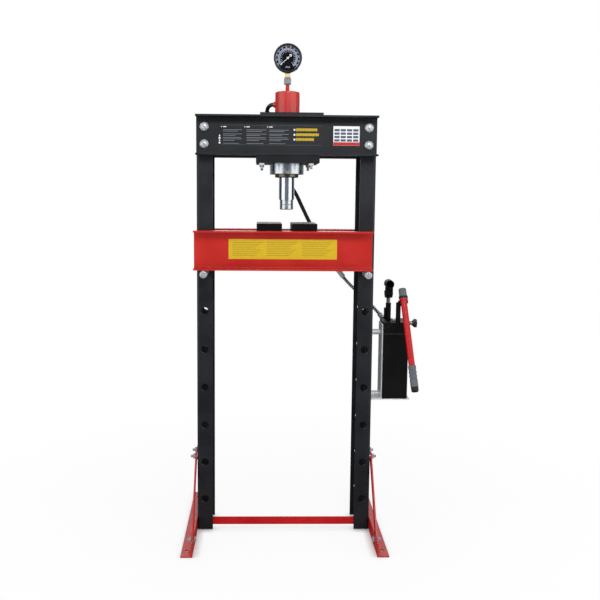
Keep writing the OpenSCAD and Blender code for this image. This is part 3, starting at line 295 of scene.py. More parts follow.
light = add(sky, "Background", {"Color": level.outputs["Color"]})
add(sky, "OutputWorld", {"Surface": light.outputs["Background"]})
print("world nodes", len(sky.nodes))


# %% Softboxes
def softbox(name, place, aim, width, height, watts):
    lamp = bpy.data.lights.new(name, "AREA")
    lamp.shape = "RECTANGLE"
    lamp.size, lamp.size_y, lamp.energy = width, height, watts
    holder = bpy.data.objects.new(name, lamp)
    holder.location = place
    holder.rotation_euler = (Vector(aim) - Vector(place)).to_track_quat("-Z", "Y").to_euler()
    scene.collection.objects.link(holder)


softbox("left_softbox", (-2.1, -1.35, 1.25), (0, 0, 0.95), 2.7, 2.4, 27)
softbox("right_softbox", (2.1, -1.35, 1.25), (0, 0, 0.95), 2.7, 2.4, 27)
softbox("front_softbox", (0.3, -2.9, 2.75), (0, 0, 1.0), 1.4, 0.8, 40)
softbox("rear_softbox", (0, 2.9, 2.4), (0, 0, 0.9), 2.0, 1.4, 20)
print("lamps", len(bpy.data.lights))

# %% Floor
FLOOR_HALF = 15
floor_mesh = bpy.data.meshes.new("floor")
sheet = bmesh.new()
bmesh.ops.create_grid(sheet, x_segments=1, y_segments=1, size=FLOOR_HALF)
bmesh.ops.translate(sheet, vec=(0, 0, -0.5 * MM), verts=sheet.verts)
sheet.to_mesh(floor_mesh)
sheet.free()
floor = bpy.data.objects.new("floor", floor_mesh)
scene.collection.objects.link(floor)
floor_paint = bpy.data.materials.new("white_floor_paint")
floor_paint.use_nodes = True
tree = floor_paint.node_tree
tree.nodes.clear()
ray = add(tree, "LightPath")
reach = add(tree, "VectorMath", {0: add(tree, "TexCoord").outputs["Object"]}, operation="LENGTH")
white = add(tree, "MapRange", {"Value": reach.outputs["Value"], "From Min": 0.5, "From Max": 1.6,
                               "To Min": 0.88, "To Max": 1.0})
open_sky = add(tree, "AmbientOcclusion", {"Distance": 30 * MM}, samples=8)
hole = add(tree, "Math", {0: open_sky.outputs["AO"], 1: 3.0}, operation="POWER")
lit = add(tree, "Math", {0: white.outputs["Result"], 1: hole.outputs["Value"]},
          operation="MULTIPLY")
share = add(tree, "Math", {0: lit.outputs["Value"], 1: ray.outputs["Is Camera Ray"]},
            operation="MULTIPLY")
dimmed = add(tree, "MixRGB", {"Fac": ray.outputs["Is Glossy Ray"], "Color1": linear("#f0f0f0"),
                              "Color2": linear("#707070")})
matt = add(tree, "BsdfDiffuse", {"Color": dimmed.outputs["Color"]})
glow = add(tree, "Emission", {"Color": linear("#ffffff"), "Strength": 1.0})
both = add(tree, "MixShader", {"Fac": share.outputs["Value"], 1: matt.outputs["BSDF"],
                               2: glow.outputs["Emission"]})
add(tree, "OutputMaterial", {"Surface": both.outputs["Shader"]})
floor_mesh.materials.append(floor_paint)
print("floor is", 2 * FLOOR_HALF, "m wide")

# %% [markdown]
# ## Powder coat
# The frame is steel sheet, sprayed with powder and baked. That gives a thick even skin with a
# faint orange peel, about 2 mm from crest to crest, and a sheen that changes a little from
# place to place. A broad noise shifts the colour and the shine, and a fine one makes the peel.
# The ram plate is a flatter black than the frame, and the pump and press plates are flatter
# still. The cylinder and the tubes are smoother reds with a crisper shine.


# %% Powder coat finishes
def powder_coat(name, dark, light, roughness, peel, gloss, coat=0.0):
    finish, tree, shader, place = new_finish(name)
    shader.inputs["Specular IOR Level"].default_value = gloss
    cloud = add(tree, "TexNoise", {"Vector": place, "Scale": 1 / (90 * MM), "Detail": 3.0})
    grain = add(tree, "TexNoise", {"Vector": place, "Scale": 1 / (2.2 * MM), "Detail": 2.0})
    mixed = add(tree, "Mix", {"Factor": 0.3, "A": cloud.outputs["Fac"], "B": grain.outputs["Fac"]},
                data_type="FLOAT")
    tree.links.new(blend_colours(tree, mixed.outputs[0], dark, light),
                   shader.inputs["Base Color"])
    shine = add(tree, "MapRange", {"Value": cloud.outputs["Fac"], "From Min": 0.3, "From Max": 0.7,
                                   "To Min": roughness - 0.05, "To Max": roughness + 0.06})
    tree.links.new(shine.outputs["Result"], shader.inputs["Roughness"])
    bump = add(tree, "Bump", {"Height": grain.outputs["Fac"], "Strength": peel,
                              "Distance": 0.15 * MM})
    tree.links.new(bump.outputs["Normal"], shader.inputs["Normal"])
    shader.inputs["Coat Weight"].default_value = coat
    shader.inputs["Coat Roughness"].default_value = 0.12
    return finish


black_coat = powder_coat("black_powder_coat", "#131418", "#1d1f24", 0.42, 0.25, 0.36)
tank_coat = powder_coat("matt_black_paint", "#09090a", "#0f0f10", 0.5, 0.3, 0.12)
red_coat = powder_coat("red_powder_coat", "#ae180f", "#bc2015", 0.36, 0.2, 0.35, 0.1)
red_gloss = powder_coat("red_gloss_enamel", "#be1e12", "#ca281b", 0.34, 0.1, 0.5, 0.5)
red_tube = powder_coat("red_tube_enamel", "#a80b0e", "#b61114", 0.24, 0.12, 0.3)
plate_coat = powder_coat("flat_black_paint", "#0f1013", "#17181c", 0.46, 0.25, 0.26)
print("made", black_coat.name, tank_coat.name, red_coat.name, red_gloss.name)

# %% [markdown]
# ## Metals
# Bolts are zinc plated, which leaves a bright grey skin with a soft cloudy shine. The ram is
# hard chrome, ground to a mirror. The gland is turned bronze and the gauge's stem turned
# brass, so fine rings from the tool run round them. Rings are waves along the turning axis.
# The pump's bracket is galvanised sheet, duller than the bolts, and its colour is made paler
# than that as painted light, which lifts its shaded face.


# %% Metal finishes
def metal(name, dark, light, roughness, spread, cloud_size, rings=0.0, metallic=1.0):
    finish, tree, shader, place = new_finish(name)
    cloud = add(tree, "TexNoise", {"Vector": place, "Scale": 1 / cloud_size, "Detail": 4.0})
    tree.links.new(blend_colours(tree, cloud.outputs["Fac"], dark, light),
                   shader.inputs["Base Color"])
    shine = add(tree, "MapRange", {"Value": cloud.outputs["Fac"], "From Min": 0.3, "From Max": 0.7,
                                   "To Min": roughness - spread, "To Max": roughness + spread})
    tree.links.new(shine.outputs["Result"], shader.inputs["Roughness"])
    shader.inputs["Metallic"].default_value = metallic
    if rings:
        wave = add(tree, "TexWave", {"Vector": place, "Scale": 1 / (20 * rings),
                                     "Distortion": 0.0},
                   wave_type="BANDS", bands_direction="Z")
        bump = add(tree, "Bump", {"Height": wave.outputs["Fac"], "Strength": 0.12,
                                  "Distance": 0.05 * MM})
        tree.links.new(bump.outputs["Normal"], shader.inputs["Normal"])
    return finish


zinc = metal("bright_zinc_plate", "#b9bdc0", "#d6d9db", 0.3, 0.08, 6 * MM, metallic=0.62)
dull_zinc = metal("dull_zinc_sheet", "#bfc2c3", "#d5d8d9", 0.46, 0.08, 18 * MM, metallic=0.4)
# Painted light: the bracket's sheet is given a paler colour, which lifts its shaded face.
galvanised_with_painted_light = metal("galvanised_sheet_painted_light", "#d6d9da", "#e8eaea", 0.5, 0.08, 18 * MM, metallic=0.3)
chrome = metal("hard_chrome", "#cfd2d6", "#dfe1e4", 0.12, 0.03, 25 * MM, rings=1.2 * MM)
satin_chrome = metal("satin_chrome", "#c2c8cb", "#d4d9dc", 0.27, 0.05, 20 * MM, rings=1.0 * MM)
steel = metal("machined_steel", "#85878a", "#a3a5a8", 0.33, 0.06, 12 * MM, rings=1.0 * MM)
bronze = metal("turned_bronze", "#6c6250", "#8c8068", 0.32, 0.06, 9 * MM, rings=1.2 * MM)
brass = metal("turned_brass", "#a8966a", "#bcab82", 0.36, 0.05, 8 * MM, rings=1.0 * MM)
nickel = metal("matt_nickel_plate", "#7d8388", "#979da2", 0.45, 0.06, 8 * MM, metallic=0.6)
black_oxide = metal("black_oxide_steel", "#434548", "#5d5f63", 0.3, 0.06, 10 * MM)
print("metals", [m.name for m in (zinc, dull_zinc, chrome, steel, bronze, brass, black_oxide)])

# %% [markdown]
# ## Plastics, print and glass
# The grip and cap are moulded grey vinyl with a sandy skin, the star knob is glossy black
# phenolic, and the gauge's face is printed sheet. Print is thin ink, so its colour wavers a
# little. The lens is clear glass: a thin flat pane bends no light that the eye could see, so it
# is made by its low alpha, which keeps the dial behind it lit.

# %% Plastic, print and glass finishes
grip_vinyl = rubber("moulded_grey_vinyl", "#4f555a", "#646a6f", 1.2 * MM, 0.66)
# This black vinyl also makes the band of painted shade on the handle's collar.
black_vinyl_and_collar_shade = rubber("moulded_black_vinyl_and_collar_shade", "#131314", "#202122", 1.2 * MM, 0.5)
knob_phenolic = powder_coat("black_phenolic", "#121214", "#1d1d20", 0.2, 0.05, 0.5, 0.4)
dial_black = rubber("black_dial_print", "#060607", "#0c0c0e", 0.8 * MM, 0.6, 0.1)
white_ink = rubber("white_ink", "#dfe0e0", "#f2f2f1", 0.9 * MM, 0.5)
grey_ink = rubber("grey_ink", "#6d7279", "#8e949b", 0.9 * MM, 0.5)
dial_grey = rubber("dial_grey_print", "#9298a9", "#a3a9b9", 0.9 * MM, 0.6, 0.1)
# Dark grey ink for the painted highlight along the seam at the tank top.
seam_highlight_ink = rubber("seam_highlight_ink", "#26282c", "#3a3d42", 0.9 * MM, 0.5)
cell_ink = rubber("slate_ink", "#454b5e", "#5a6074", 0.9 * MM, 0.5)
yellow_ink = rubber("yellow_vinyl", "#c3a312", "#d0b220", 4 * MM, 0.42)
amber_ink = rubber("amber_ink", "#8f7618", "#a08722", 1.5 * MM, 0.45)
red_ink = rubber("red_ink", "#b3211f", "#c93632", 2 * MM, 0.45)

lens_glass = bpy.data.materials.new("clear_glass")
lens_glass.use_nodes = True
tree = lens_glass.node_tree
shader = tree.nodes["Principled BSDF"]
shader.inputs["Base Color"].default_value = linear("#0c0d0f")
shader.inputs["Alpha"].default_value = 0.06
shader.inputs["IOR"].default_value = 1.5
smear = add(tree, "TexNoise", {"Vector": add(tree, "TexCoord").outputs["Object"],
                               "Scale": 1 / (30 * MM)})
shine = add(tree, "MapRange", {"Value": smear.outputs["Fac"], "To Min": 0.0, "To Max": 0.03})
tree.links.new(shine.outputs["Result"], shader.inputs["Roughness"])
print("print and glass made")

# %% [markdown]
# ## Finishes on the CAD nodes
# The record gives each node a material slot. Every node takes the finish of its slot, so that
# even the pieces inside the cylinder have the right metal when the press is taken apart. Two
# pins and the cylinder have a paint of their own.

# %% Finish of each slot
finish_of = {
    "black_coat": black_coat, "red_paint": red_coat, "zinc_plate": zinc,
    "bright_chrome": chrome, "plain_steel": steel, "gland_bronze": bronze,
    "gauge_brass": brass, "seal_rubber": hose_rubber, "dial_black": dial_black,
    "needle_white": white_ink, "lens_glass": lens_glass, "grip_grey": grip_vinyl,
    "knob_plastic": knob_phenolic,
}
for name, node in frame["nodes"].items():
    node.data.materials.clear()
    node.data.materials.append(finish_of[slot_of[name]])
for name in ("fulcrum_pin", "plunger_pin"):
    frame["nodes"][name].data.materials[0] = tank_coat
frame["nodes"]["cylinder"].data.materials[0] = red_gloss
dress(hose_guard, [dull_zinc], "frame", "zinc_plate")
print("nodes finished", len(frame["nodes"]))

# %% [markdown]
# ## Softened edges
# Real sheet and plate have no knife edges: cutting, folding and paint round them by half a
# millimetre or more, and that line catches the light. The CAD solids are sharp, so each one
# is copied, its loose triangles are merged and its flat faces joined, and the sharp edges get
# a small bevel. The copy then stands for the node.


# %% Softening helper
SHARP_FROM = 32


def finish_mesh(name, shape, sharp=25):
    mesh = bpy.data.meshes.new(name)
    shape.to_mesh(mesh)
    shape.free()
    mesh.shade_smooth()
    mesh.set_sharp_from_angle(angle=radians(sharp))
    piece = bpy.data.objects.new(name, mesh)
    scene.collection.objects.link(piece)
    even = piece.modifiers.new("even_shading", "WEIGHTED_NORMAL")
    even.keep_sharp = True
    return piece


def soften(node, width, finish=None):
    solid = bmesh.new()
    solid.from_mesh(frame["nodes"][node].data)
    bmesh.ops.remove_doubles(solid, verts=solid.verts, dist=MERGE)
    bmesh.ops.dissolve_limit(solid, angle_limit=radians(0.5), verts=solid.verts,
                             edges=solid.edges)
    edges = [e for e in solid.edges
             if e.is_manifold and e.calc_face_angle() > radians(SHARP_FROM)]
    bmesh.ops.bevel(solid, geom=edges, offset=width, offset_type="OFFSET", affect="EDGES",
                    segments=2, profile=0.5, material=-1, clamp_overlap=True)
    piece = finish_mesh("soft_" + node, solid)
    return dress(piece, [finish or finish_of[slot_of[node]]], frame["nodes"][node]["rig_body"],
                 slot_of[node], node)


# %% Softened pieces
edge_width = {
    "left_column": 0.8, "right_column": 0.8, "front_head_beam": 0.8, "rear_head_beam": 0.8,
    "top_plate": 1.2, "ram_plate": 1.5, "front_bed_beam": 0.8, "rear_bed_beam": 0.8,
    "bed_spacers": 0.6, "left_press_plate": 0.6, "right_press_plate": 0.6, "left_foot": 0.7,
    "right_foot": 0.7, "braces": 0.7, "cross_bar": 0.6, "reservoir": 1.4, "pump_head": 1.4,
    "fulcrum_post": 0.8, "handle_holder": 0.8, "lever_socket": 0.8, "plunger": 0.6,
    "filler_plug": 0.8, "handle_tube": 0.8, "lock_ring": 0.6,
    "ram_nose": 0.5, "pump_barrel": 0.8, "pump_bracket": 0.7, "bed_pins": 2.0,
}
own_finish = {
    "handle_tube": red_tube, "cross_bar": red_tube, "lock_ring": satin_chrome,
    "ram_nose": satin_chrome, "pump_bracket": galvanised_with_painted_light, "ram_plate": plate_coat,
}
for name in ("left_press_plate", "right_press_plate", "reservoir", "pump_head", "pump_barrel",
             "fulcrum_post", "handle_holder", "lever_socket"):
    own_finish[name] = tank_coat
for name, width in edge_width.items():
    soften(name, width * MM, own_finish.get(name))
FORK_FOOT = 841 * MM
fork = bpy.data.objects["soft_plunger"].data
fork.materials.append(tank_coat)
for face in fork.polygons:
    face.material_index = int(face.center.z > FORK_FOOT)
print("softened", len(edge_width))

# %% [markdown]
# ## Fasteners
# Hexagon bolts hold the head, the ram plate, the feet and the braces. A head is a six-sided
# prism with its top edge turned off, a washer and a threaded shank are turned shapes. So one
# helper spins an outline round an axis, another makes a hexagon, and both put the result at a
# place that looks along the bolt.


# %% Turned and hexagon helpers
def put_part(piece, part, place, finish_index=0):
    bmesh.ops.remove_doubles(part, verts=part.verts, dist=0.001 * MM)
    bmesh.ops.recalc_face_normals(part, faces=part.faces)
    bmesh.ops.transform(part, matrix=place, verts=part.verts)
    for face in part.faces:
        face.material_index = finish_index
    mesh = bpy.data.meshes.new("part")
    part.to_mesh(mesh)
    part.free()
    piece.from_mesh(mesh)
    bpy.data.meshes.remove(mesh)


def put_turned(piece, outline, place, finish_index=0, steps=32):
    part = bmesh.new()
    points = [part.verts.new((r * MM, 0, z * MM)) for r, z in outline]
    line = [part.edges.new(pair) for pair in zip(points, points[1:])]
    bmesh.ops.spin(part, geom=points + line, cent=(0, 0, 0), axis=(0, 0, 1), angle=2 * pi,
                   steps=steps, use_merge=True)
    put_part(piece, part, place, finish_index)


def put_hexagon(piece, across, low, high, place, finish_index=0):
    part = bmesh.new()
    radius, height = across * MM / sqrt(3), (high - low) * MM
    bmesh.ops.create_cone(part, cap_ends=True, segments=6, radius1=radius, radius2=radius,
                          depth=height, matrix=Matrix.Translation((0, 0, low * MM + height / 2)))
    rims = [e for e in part.edges if abs(e.verts[0].co.z - e.verts[1].co.z) < 0.01 * MM]
    bmesh.ops.bevel(part, geom=rims, offset=0.06 * across * MM, offset_type="OFFSET",
                    affect="EDGES", segments=1, profile=0.5, material=-1)
    put_part(piece, part, place, finish_index)


def facing(point, out):
    turn = Vector(out).to_track_quat("Z", "Y").to_matrix().to_4x4()
    return Matrix.Translation(Vector(point) * MM) @ turn


def put_bolt(piece, size, point, out, shank, nut_at, washers=(), low_head=False):
    """A bolt whose head sits on point and looks along out; depths run inwards from there."""
    d, across, head, nut = size
    place = facing(point, out)
    if low_head:
        put_turned(piece, [(0, 2), (6, 2), (6.8, 1.4), (7, 0.6), (7, 0), (0, 0)], place, 1)
    else:
        put_hexagon(piece, across, 0, head, place)
        put_turned(piece, [(0, head - 0.2), (0.34 * across, head - 0.2),
                           (0.3 * across, head + 0.5), (0.2 * across, head + 1.0),
                           (0, head + 1.2)], place)
    put_hexagon(piece, across, -nut_at - nut, -nut_at, place)
    pitch, radius = 0.14 * d, d / 2
    outline = [(0, 0), (radius, 0), (radius, -nut_at + 1)]
    z = -nut_at - nut + pitch
    while z - pitch > -shank + 0.6:
        outline += [(radius, z), (radius * 0.86, z - pitch / 2)]
        z -= pitch
    outline += [(radius, z), (radius, -shank + 0.8), (radius - 0.8, -shank), (0, -shank)]
    put_turned(piece, outline, place, steps=20)
    for low, high, over in washers:
        edge = radius + over
        put_turned(piece, [(radius, low), (edge - 0.4, low), (edge, low + 0.4), (edge, high - 0.4),
                           (edge - 0.4, high), (radius, high), (radius, low)], place)


BIG_BOLT, SMALL_BOLT = (16, 24, 10, 13), (10, 17, 6.4, 8.4)
print("bolt sizes", BIG_BOLT, SMALL_BOLT)

# %% Head and ram plate bolts
head_set = bmesh.new()
for x in (-282.5, 282.5):
    for z in (1378, 1437):
        for side in (-1, 1):
            put_bolt(head_set, BIG_BOLT, (x, side * 74, z), (0, side, 0), 32, 15, [(-3, 0, 7)])
dress(finish_mesh("head_bolt_sets", head_set), [zinc], "frame", "zinc_plate", "head_bolts")

plate_set = bmesh.new()
for x in (-85, 83):
    for y in (-94, 94):
        put_bolt(plate_set, SMALL_BOLT, (x, y, 1346), (0, 0, 1), 51.4, 31, low_head=True)
dress(finish_mesh("ram_plate_bolt_sets", plate_set), [zinc, black_coat], "frame", "zinc_plate",
      "ram_plate_bolts")

# %% Foot, brace and bracket bolts
foot_set, brace_set = bmesh.new(), bmesh.new()
for side in (-1, 1):
    for y, depth in ((-32, 14), (32, 10)):
        put_bolt(foot_set, SMALL_BOLT, (side * 314, y, 26), (side, 0, 0), depth + 12.4, depth)
    for end in (-1, 1):
        put_bolt(brace_set, SMALL_BOLT, (side * 304, end * 35, 265), (-side, 0, 0), 31.4, 15,
                 [(-10, -6, 7)])
        put_bolt(brace_set, SMALL_BOLT, (side * 310, end * 206, 30), (-side, 0, 0), 21.4, 9)
dress(finish_mesh("foot_bolt_sets", foot_set), [zinc], "frame", "zinc_plate", "foot_bolts")
dress(finish_mesh("brace_bolt_sets", brace_set), [zinc], "frame", "zinc_plate", "brace_bolts")

# %% [markdown]
# ## Pressure gauge
# The gauge is a pressed steel case with a rolled bezel, a printed dial, a glass lens and a
# white needle. The case and bezel are spun from their outlines. The scale is made of thin
# solid ink marks, placed by angle: the zero is at the lower left, and the scale runs 270
# degrees clockwise. Numbers are turned into meshes before they are put on the dial.

# %% Gauge case and bezel
GAUGE = Vector((3, 0, 1678))
to_front = facing(GAUGE + Vector((0, -11, 0)), (0, -1, 0))
to_back = facing(GAUGE + Vector((0, -11, 0)), (0, 1, 0))
bezel = bmesh.new()
put_turned(bezel, [(44, 10), (44, 11), (44.8, 11.8), (46.2, 12), (47.8, 11.6), (48.7, 10.6),
                   (49, 9), (49, 1), (48.6, 0.2), (48, 0), (45.5, 0), (45.5, 10), (44, 10)],
           to_front, steps=96)
tab = bmesh.new()
bmesh.ops.create_cube(tab, size=1, matrix=Matrix.Diagonal((4 * MM, 4 * MM, 5 * MM, 1)))
bmesh.ops.bevel(tab, geom=list(tab.edges), offset=0.6 * MM, offset_type="OFFSET",
                affect="EDGES", segments=2, profile=0.5, material=-1)
tab_turn = Matrix.Rotation(radians(50), 4, "Y") @ Matrix.Translation((49.5 * MM, 0, 0))
put_part(bezel, tab, Matrix.Translation((GAUGE + Vector((0, -15, 0))) * MM) @ tab_turn)
dress(finish_mesh("gauge_bezel_ring", bezel), [black_coat], "frame", "black_coat", "gauge_bezel")

case = bmesh.new()
put_turned(case, [(45.5, 0), (47, 0), (47, 29), (46.3, 31.6), (44.6, 33.3), (42, 34), (0, 34),
                  (0, 32.5), (42, 32.5), (44.8, 31), (45.5, 29), (45.5, 0)], to_back, steps=96)
dress(finish_mesh("gauge_case_cup", case), [black_coat], "frame", "black_coat", "gauge_case")
print("gauge centre", tuple(GAUGE))


# %% Dial marks
def put_block(piece, low, high, place, finish_index=0):
    part = bmesh.new()
    size = [(b - a) * MM for a, b in zip(low, high)]
    centre = [(a + b) / 2 * MM for a, b in zip(low, high)]
    bmesh.ops.create_cube(part, size=1, matrix=Matrix.Translation(centre)
                          @ Matrix.Diagonal((*size, 1)))
    put_part(piece, part, place, finish_index)


def put_arc(piece, r1, r2, start, sweep, place, finish_index=0, steps=60, height=0.15):
    part = bmesh.new()
    corners = ((r1, 0), (r2, 0), (r2, height), (r1, height))
    points = [part.verts.new((r * MM, 0, z * MM)) for r, z in corners]
    loop = [part.edges.new(pair) for pair in zip(points, points[1:] + points[:1])]
    bmesh.ops.rotate(part, cent=(0, 0, 0), matrix=Matrix.Rotation(radians(start), 3, "Z"),
                     verts=points)
    bmesh.ops.spin(part, geom=points + loop, cent=(0, 0, 0), axis=(0, 0, 1),
                   angle=radians(sweep), steps=steps)
    bmesh.ops.holes_fill(part, edges=[e for e in part.edges if e.is_boundary], sides=4)
    put_part(piece, part, place, finish_index)


def put_number(piece, text, size, place, finish_index=0):
    letters = bpy.data.curves.new("number", "FONT")
    letters.body, letters.size = text, size * MM
    letters.align_x, letters.align_y = "CENTER", "CENTER"
    letters.extrude = 0.08 * MM
    mesh = take_mesh(letters)
    part = bmesh.new()
    part.from_mesh(mesh)
    bpy.data.meshes.remove(mesh)
    put_part(piece, part, place, finish_index)


DIAL_ZERO, DIAL_SWEEP, DIAL_PARTS, DIAL_TICKS, NUMBER_R = 222, 270, 12, 18, 31.9 * MM
upright = Matrix.Translation((GAUGE + Vector((0, -10, 0))) * MM) @ Matrix.Rotation(pi / 2, 4, "X")
marks = bmesh.new()
put_arc(marks, 27, 43.4, DIAL_ZERO + 6, -DIAL_SWEEP - 12, upright)
for i in range(DIAL_PARTS + 1):
    angle = radians(DIAL_ZERO - DIAL_SWEEP * i / DIAL_PARTS)
    turn = upright @ Matrix.Rotation(angle, 4, "Z")
    put_block(marks, (34.6, -3.8, 0), (40.6, 3.8, 0.3), turn, 1)
    spot = Matrix.Translation((NUMBER_R * cos(angle), NUMBER_R * sin(angle), 0.2 * MM))
    put_number(marks, str(2 * i), 4.2, upright @ spot, 2)
for i in range(DIAL_TICKS + 1):
    angle = radians(DIAL_ZERO - DIAL_SWEEP * i / DIAL_TICKS)
    put_block(marks, (20, -0.9, 0), (27, 0.9, 0.15), upright @ Matrix.Rotation(angle, 4, "Z"))
for low, high in ((-29.5, -27.5), (-33, -31)):
    put_block(marks, (-8, low, 0), (8, high, 0.15), upright)
dress(finish_mesh("dial_marks", marks), [dial_grey, dial_black, white_ink], "frame",
      "needle_white")

# %% Needle and coupling
needle = bmesh.new()
along_needle = upright @ Matrix.Rotation(radians(DIAL_ZERO), 4, "Z")
put_block(needle, (0, -1.1, 3.1), (35, 1.1, 3.9), along_needle)
put_block(needle, (-12, -1.5, 3.1), (0, 1.5, 3.9), along_needle)
put_block(needle, (-4, -4, 3.1), (4, 4, 3.9), along_needle
          @ Matrix.Translation((-12.5 * MM, 0, 0)) @ Matrix.Rotation(pi / 4, 4, "Z"))
put_turned(needle, [(0, 4.6), (3, 4.6), (3.8, 4), (3.8, 0.2), (0, 0.2)], upright)
dress(finish_mesh("needle_blade", needle), [white_ink], "needle", "needle_white", "gauge_needle")

coupling = bmesh.new()
put_hexagon(coupling, 25, 1590, 1610, Matrix.Translation((3 * MM, 0, 0)))
dress(finish_mesh("gauge_coupling_nut", coupling), [nickel], "frame", "zinc_plate",
      "gauge_coupling")

# %% [markdown]
# ## Print on the head and the bed
# The head carries a printed field and the bed a yellow plate. They are left generic: columns
# of plain rules, three yellow bars with white bullets, a small table of blank cells and a
# yellow plate with faint rules. Each is a thin film of ink or vinyl on the steel, so each is a
# thin solid.

# %% Head print
head_print = bmesh.new()
HEAD_WEB, BED_WEB = -71 * MM, -72 * MM
film = Matrix.Translation((0, HEAD_WEB, 0))


def put_film(piece, x0, x1, z0, z1, finish_index, thick=0.2):
    put_block(piece, (x0, -thick, z0), (x1, 0, z1), film, finish_index)


rule_short = (0, 14, 0, 22, 4, 0, 26, 10)
for left, right in ((-218, -154), (-138, -70), (-60, 6)):
    put_film(head_print, left - 7, left - 4, 1435.5, 1438.5, 0)
    put_film(head_print, left, left + 11, 1435.5, 1438.5, 0)
    for k, drop in enumerate((0, 5, 14, 19, 26, 31, 36, 46)):
        put_film(head_print, left, right - rule_short[k], 1426.2 - drop, 1427.6 - drop, 1)
for k in range(49):
    x = -222 + 7 * k
    put_film(head_print, x, x + 3, 1442.2, 1443.0, 1)
    put_film(head_print, x, x + 3, 1376.2, 1377.0, 1)
for z, pieces in ((1423.8, 13), (1407.1, 14), (1391, 11)):
    for k in range(pieces):
        put_film(head_print, 32 + 5.6 * k, 36.6 + 5.6 * k, z + k % 2, z + 9.6, 2)
    put_film(head_print, 23, 29, z + 1.6, z + 7.4, 0)
for k in range(4):
    put_film(head_print, -233 + k % 2, -227 - k % 2, 1380 + 8 * k, 1385.5 + 8 * k, 0)
put_film(head_print, 159.5, 249.5, 1376.1, 1442.2, 0)
for row in range(4):
    for column in range(4):
        x = 163 + 21.5 * column
        put_film(head_print, x, x + 18, 1424.5 - 11.5 * row, 1432.5 - 11.5 * row, 3, 0.3)
put_film(head_print, 159.8, 249.2, 1376.4, 1387.9, 4, 0.35)
dress(finish_mesh("head_print", head_print),
      [white_ink, grey_ink, yellow_ink, cell_ink, red_ink], "frame", "needle_white")

# %% Bed plate
film = Matrix.Translation((0, BED_WEB, 0))
bed_print = bmesh.new()
put_film(bed_print, -199, 178, 984, 1053, 0, 0.4)
for left in (-186, -66, 56):
    for k in range(8):
        put_film(bed_print, left, left + 106 - (k * 37) % 29, 1041 - 6.4 * k, 1042.6 - 6.4 * k, 1,
                 0.5)
dress(finish_mesh("bed_print", bed_print), [yellow_ink, amber_ink], "frame", "needle_white")

# %% [markdown]
# ## Handle grip and cap
# The pump handle is stored in a holder beside the tank. Its lower end has a moulded grip with
# three finger grooves and a black end, and its upper end a domed cap. A thin black band round
# the collar under the cap is painted shade, the dark rim that the cap leaves on the red collar.
# All are round, so all are spun from an outline along the handle's leaning axis.

# %% Grip and cap
HANDLE_SPOT, HANDLE_LEAN, HANDLE_TILT = Vector((416, -67.5, 842)) * MM, 5.5, 18
handle_axis = (Matrix.Translation(HANDLE_SPOT) @ Matrix.Rotation(radians(-HANDLE_LEAN), 4, "Y")
               @ Matrix.Rotation(radians(-HANDLE_TILT), 4, "X"))
grip = bmesh.new()
outline = [(13.1, -303.2), (13.5, -302.6)]
for z in (-277, -263.2, -249.4):
    outline += [(13.5, z - 0.6), (12.5, z + 0.7), (11.7, z + 2.5), (12.5, z + 4.3),
                (13.5, z + 5.6)]
outline += [(13.5, -233), (13.1, -231.6), (12.3, -231), (11.1, -231), (11.1, -303.2),
            (13.1, -303.2)]
put_turned(grip, outline, handle_axis, steps=48)
put_turned(grip, [(0, -323), (6, -322.9), (9, -322.2), (11, -320.8), (12.2, -318.4),
                  (12.8, -315), (12.9, -311), (12.9, -303.3), (11.1, -303.3), (11.1, -319.1),
                  (0, -319.1)], handle_axis, 1, steps=48)
dress(finish_mesh("handle_grip_sleeve", grip, 40), [grip_vinyl, black_vinyl_and_collar_shade], "frame", "grip_grey",
      "handle_grip")
cap = bmesh.new()
put_turned(cap, [(11.1, 14.2), (13.5, 14.2), (13.5, 35), (13.1, 38), (12, 40.6), (9.8, 42.3),
                 (6.4, 43), (0, 43.1), (0, 40.2), (11.1, 40.2), (11.1, 14.2)], handle_axis,
           steps=48)
dress(finish_mesh("handle_cap_dome", cap, 40), [grip_vinyl], "frame", "grip_grey", "handle_cap")
# Painted shade: a thin black band round the red collar, where the cap shades it.
collar_shade_band = bmesh.new()
put_turned(collar_shade_band, [(15.05, 5.4), (15.5, 5.4), (15.9, 6), (15.9, 13.2), (15.5, 14), (15.05, 14),
                  (15.05, 5.4)], handle_axis, steps=48)
dress(finish_mesh("handle_collar_shade_band", collar_shade_band, 40), [black_vinyl_and_collar_shade], "frame", "seal_rubber")
print("grip and cap on the axis", tuple(round(x, 3) for x in handle_axis.col[2][:3]))

# %% [markdown]
# ## Swept elbow and ferrules
# At the cylinder the hose starts with a bent steel tube, which turns back and down. A bevelled
# curve is its natural form. Turned ferrules are crimped on where the hose meets the tube and
# where the wire guard begins. The fittings at the pump stay as the CAD solids have them, so
# they are copied from there.


# %% Elbow and ferrules
def copy_below(node, height):
    part = bmesh.new()
    part.from_mesh(frame["nodes"][node].data)
    bmesh.ops.remove_doubles(part, verts=part.verts, dist=MERGE)
    bmesh.ops.delete(part, geom=[v for v in part.verts if v.co.z > height * MM], context="VERTS")
    bmesh.ops.recalc_face_normals(part, faces=part.faces)
    return part


BEND_R, PUMP_ELBOW_TOP, PUMP_FERRULE_TOP = 6.9 * MM, 1000, 850
bend_curve = new_curve("bend_line", BEND_R, 5)
add_smooth_line(bend_curve, [Vector(point) * MM for point in (
    (-45, 0, 1520), (-53, 1, 1519.2), (-59.5, 4.5, 1516), (-64.5, 11, 1510.2), (-67, 21, 1503),
    (-67.3, 28, 1500))])
bend_mesh = take_mesh(bend_curve)
elbows = copy_below("hose_elbows", PUMP_ELBOW_TOP)
elbows.from_mesh(bend_mesh)
bpy.data.meshes.remove(bend_mesh)
dress(finish_mesh("hose_elbow_tubes", elbows), [black_oxide], "frame", "zinc_plate",
      "hose_elbows")

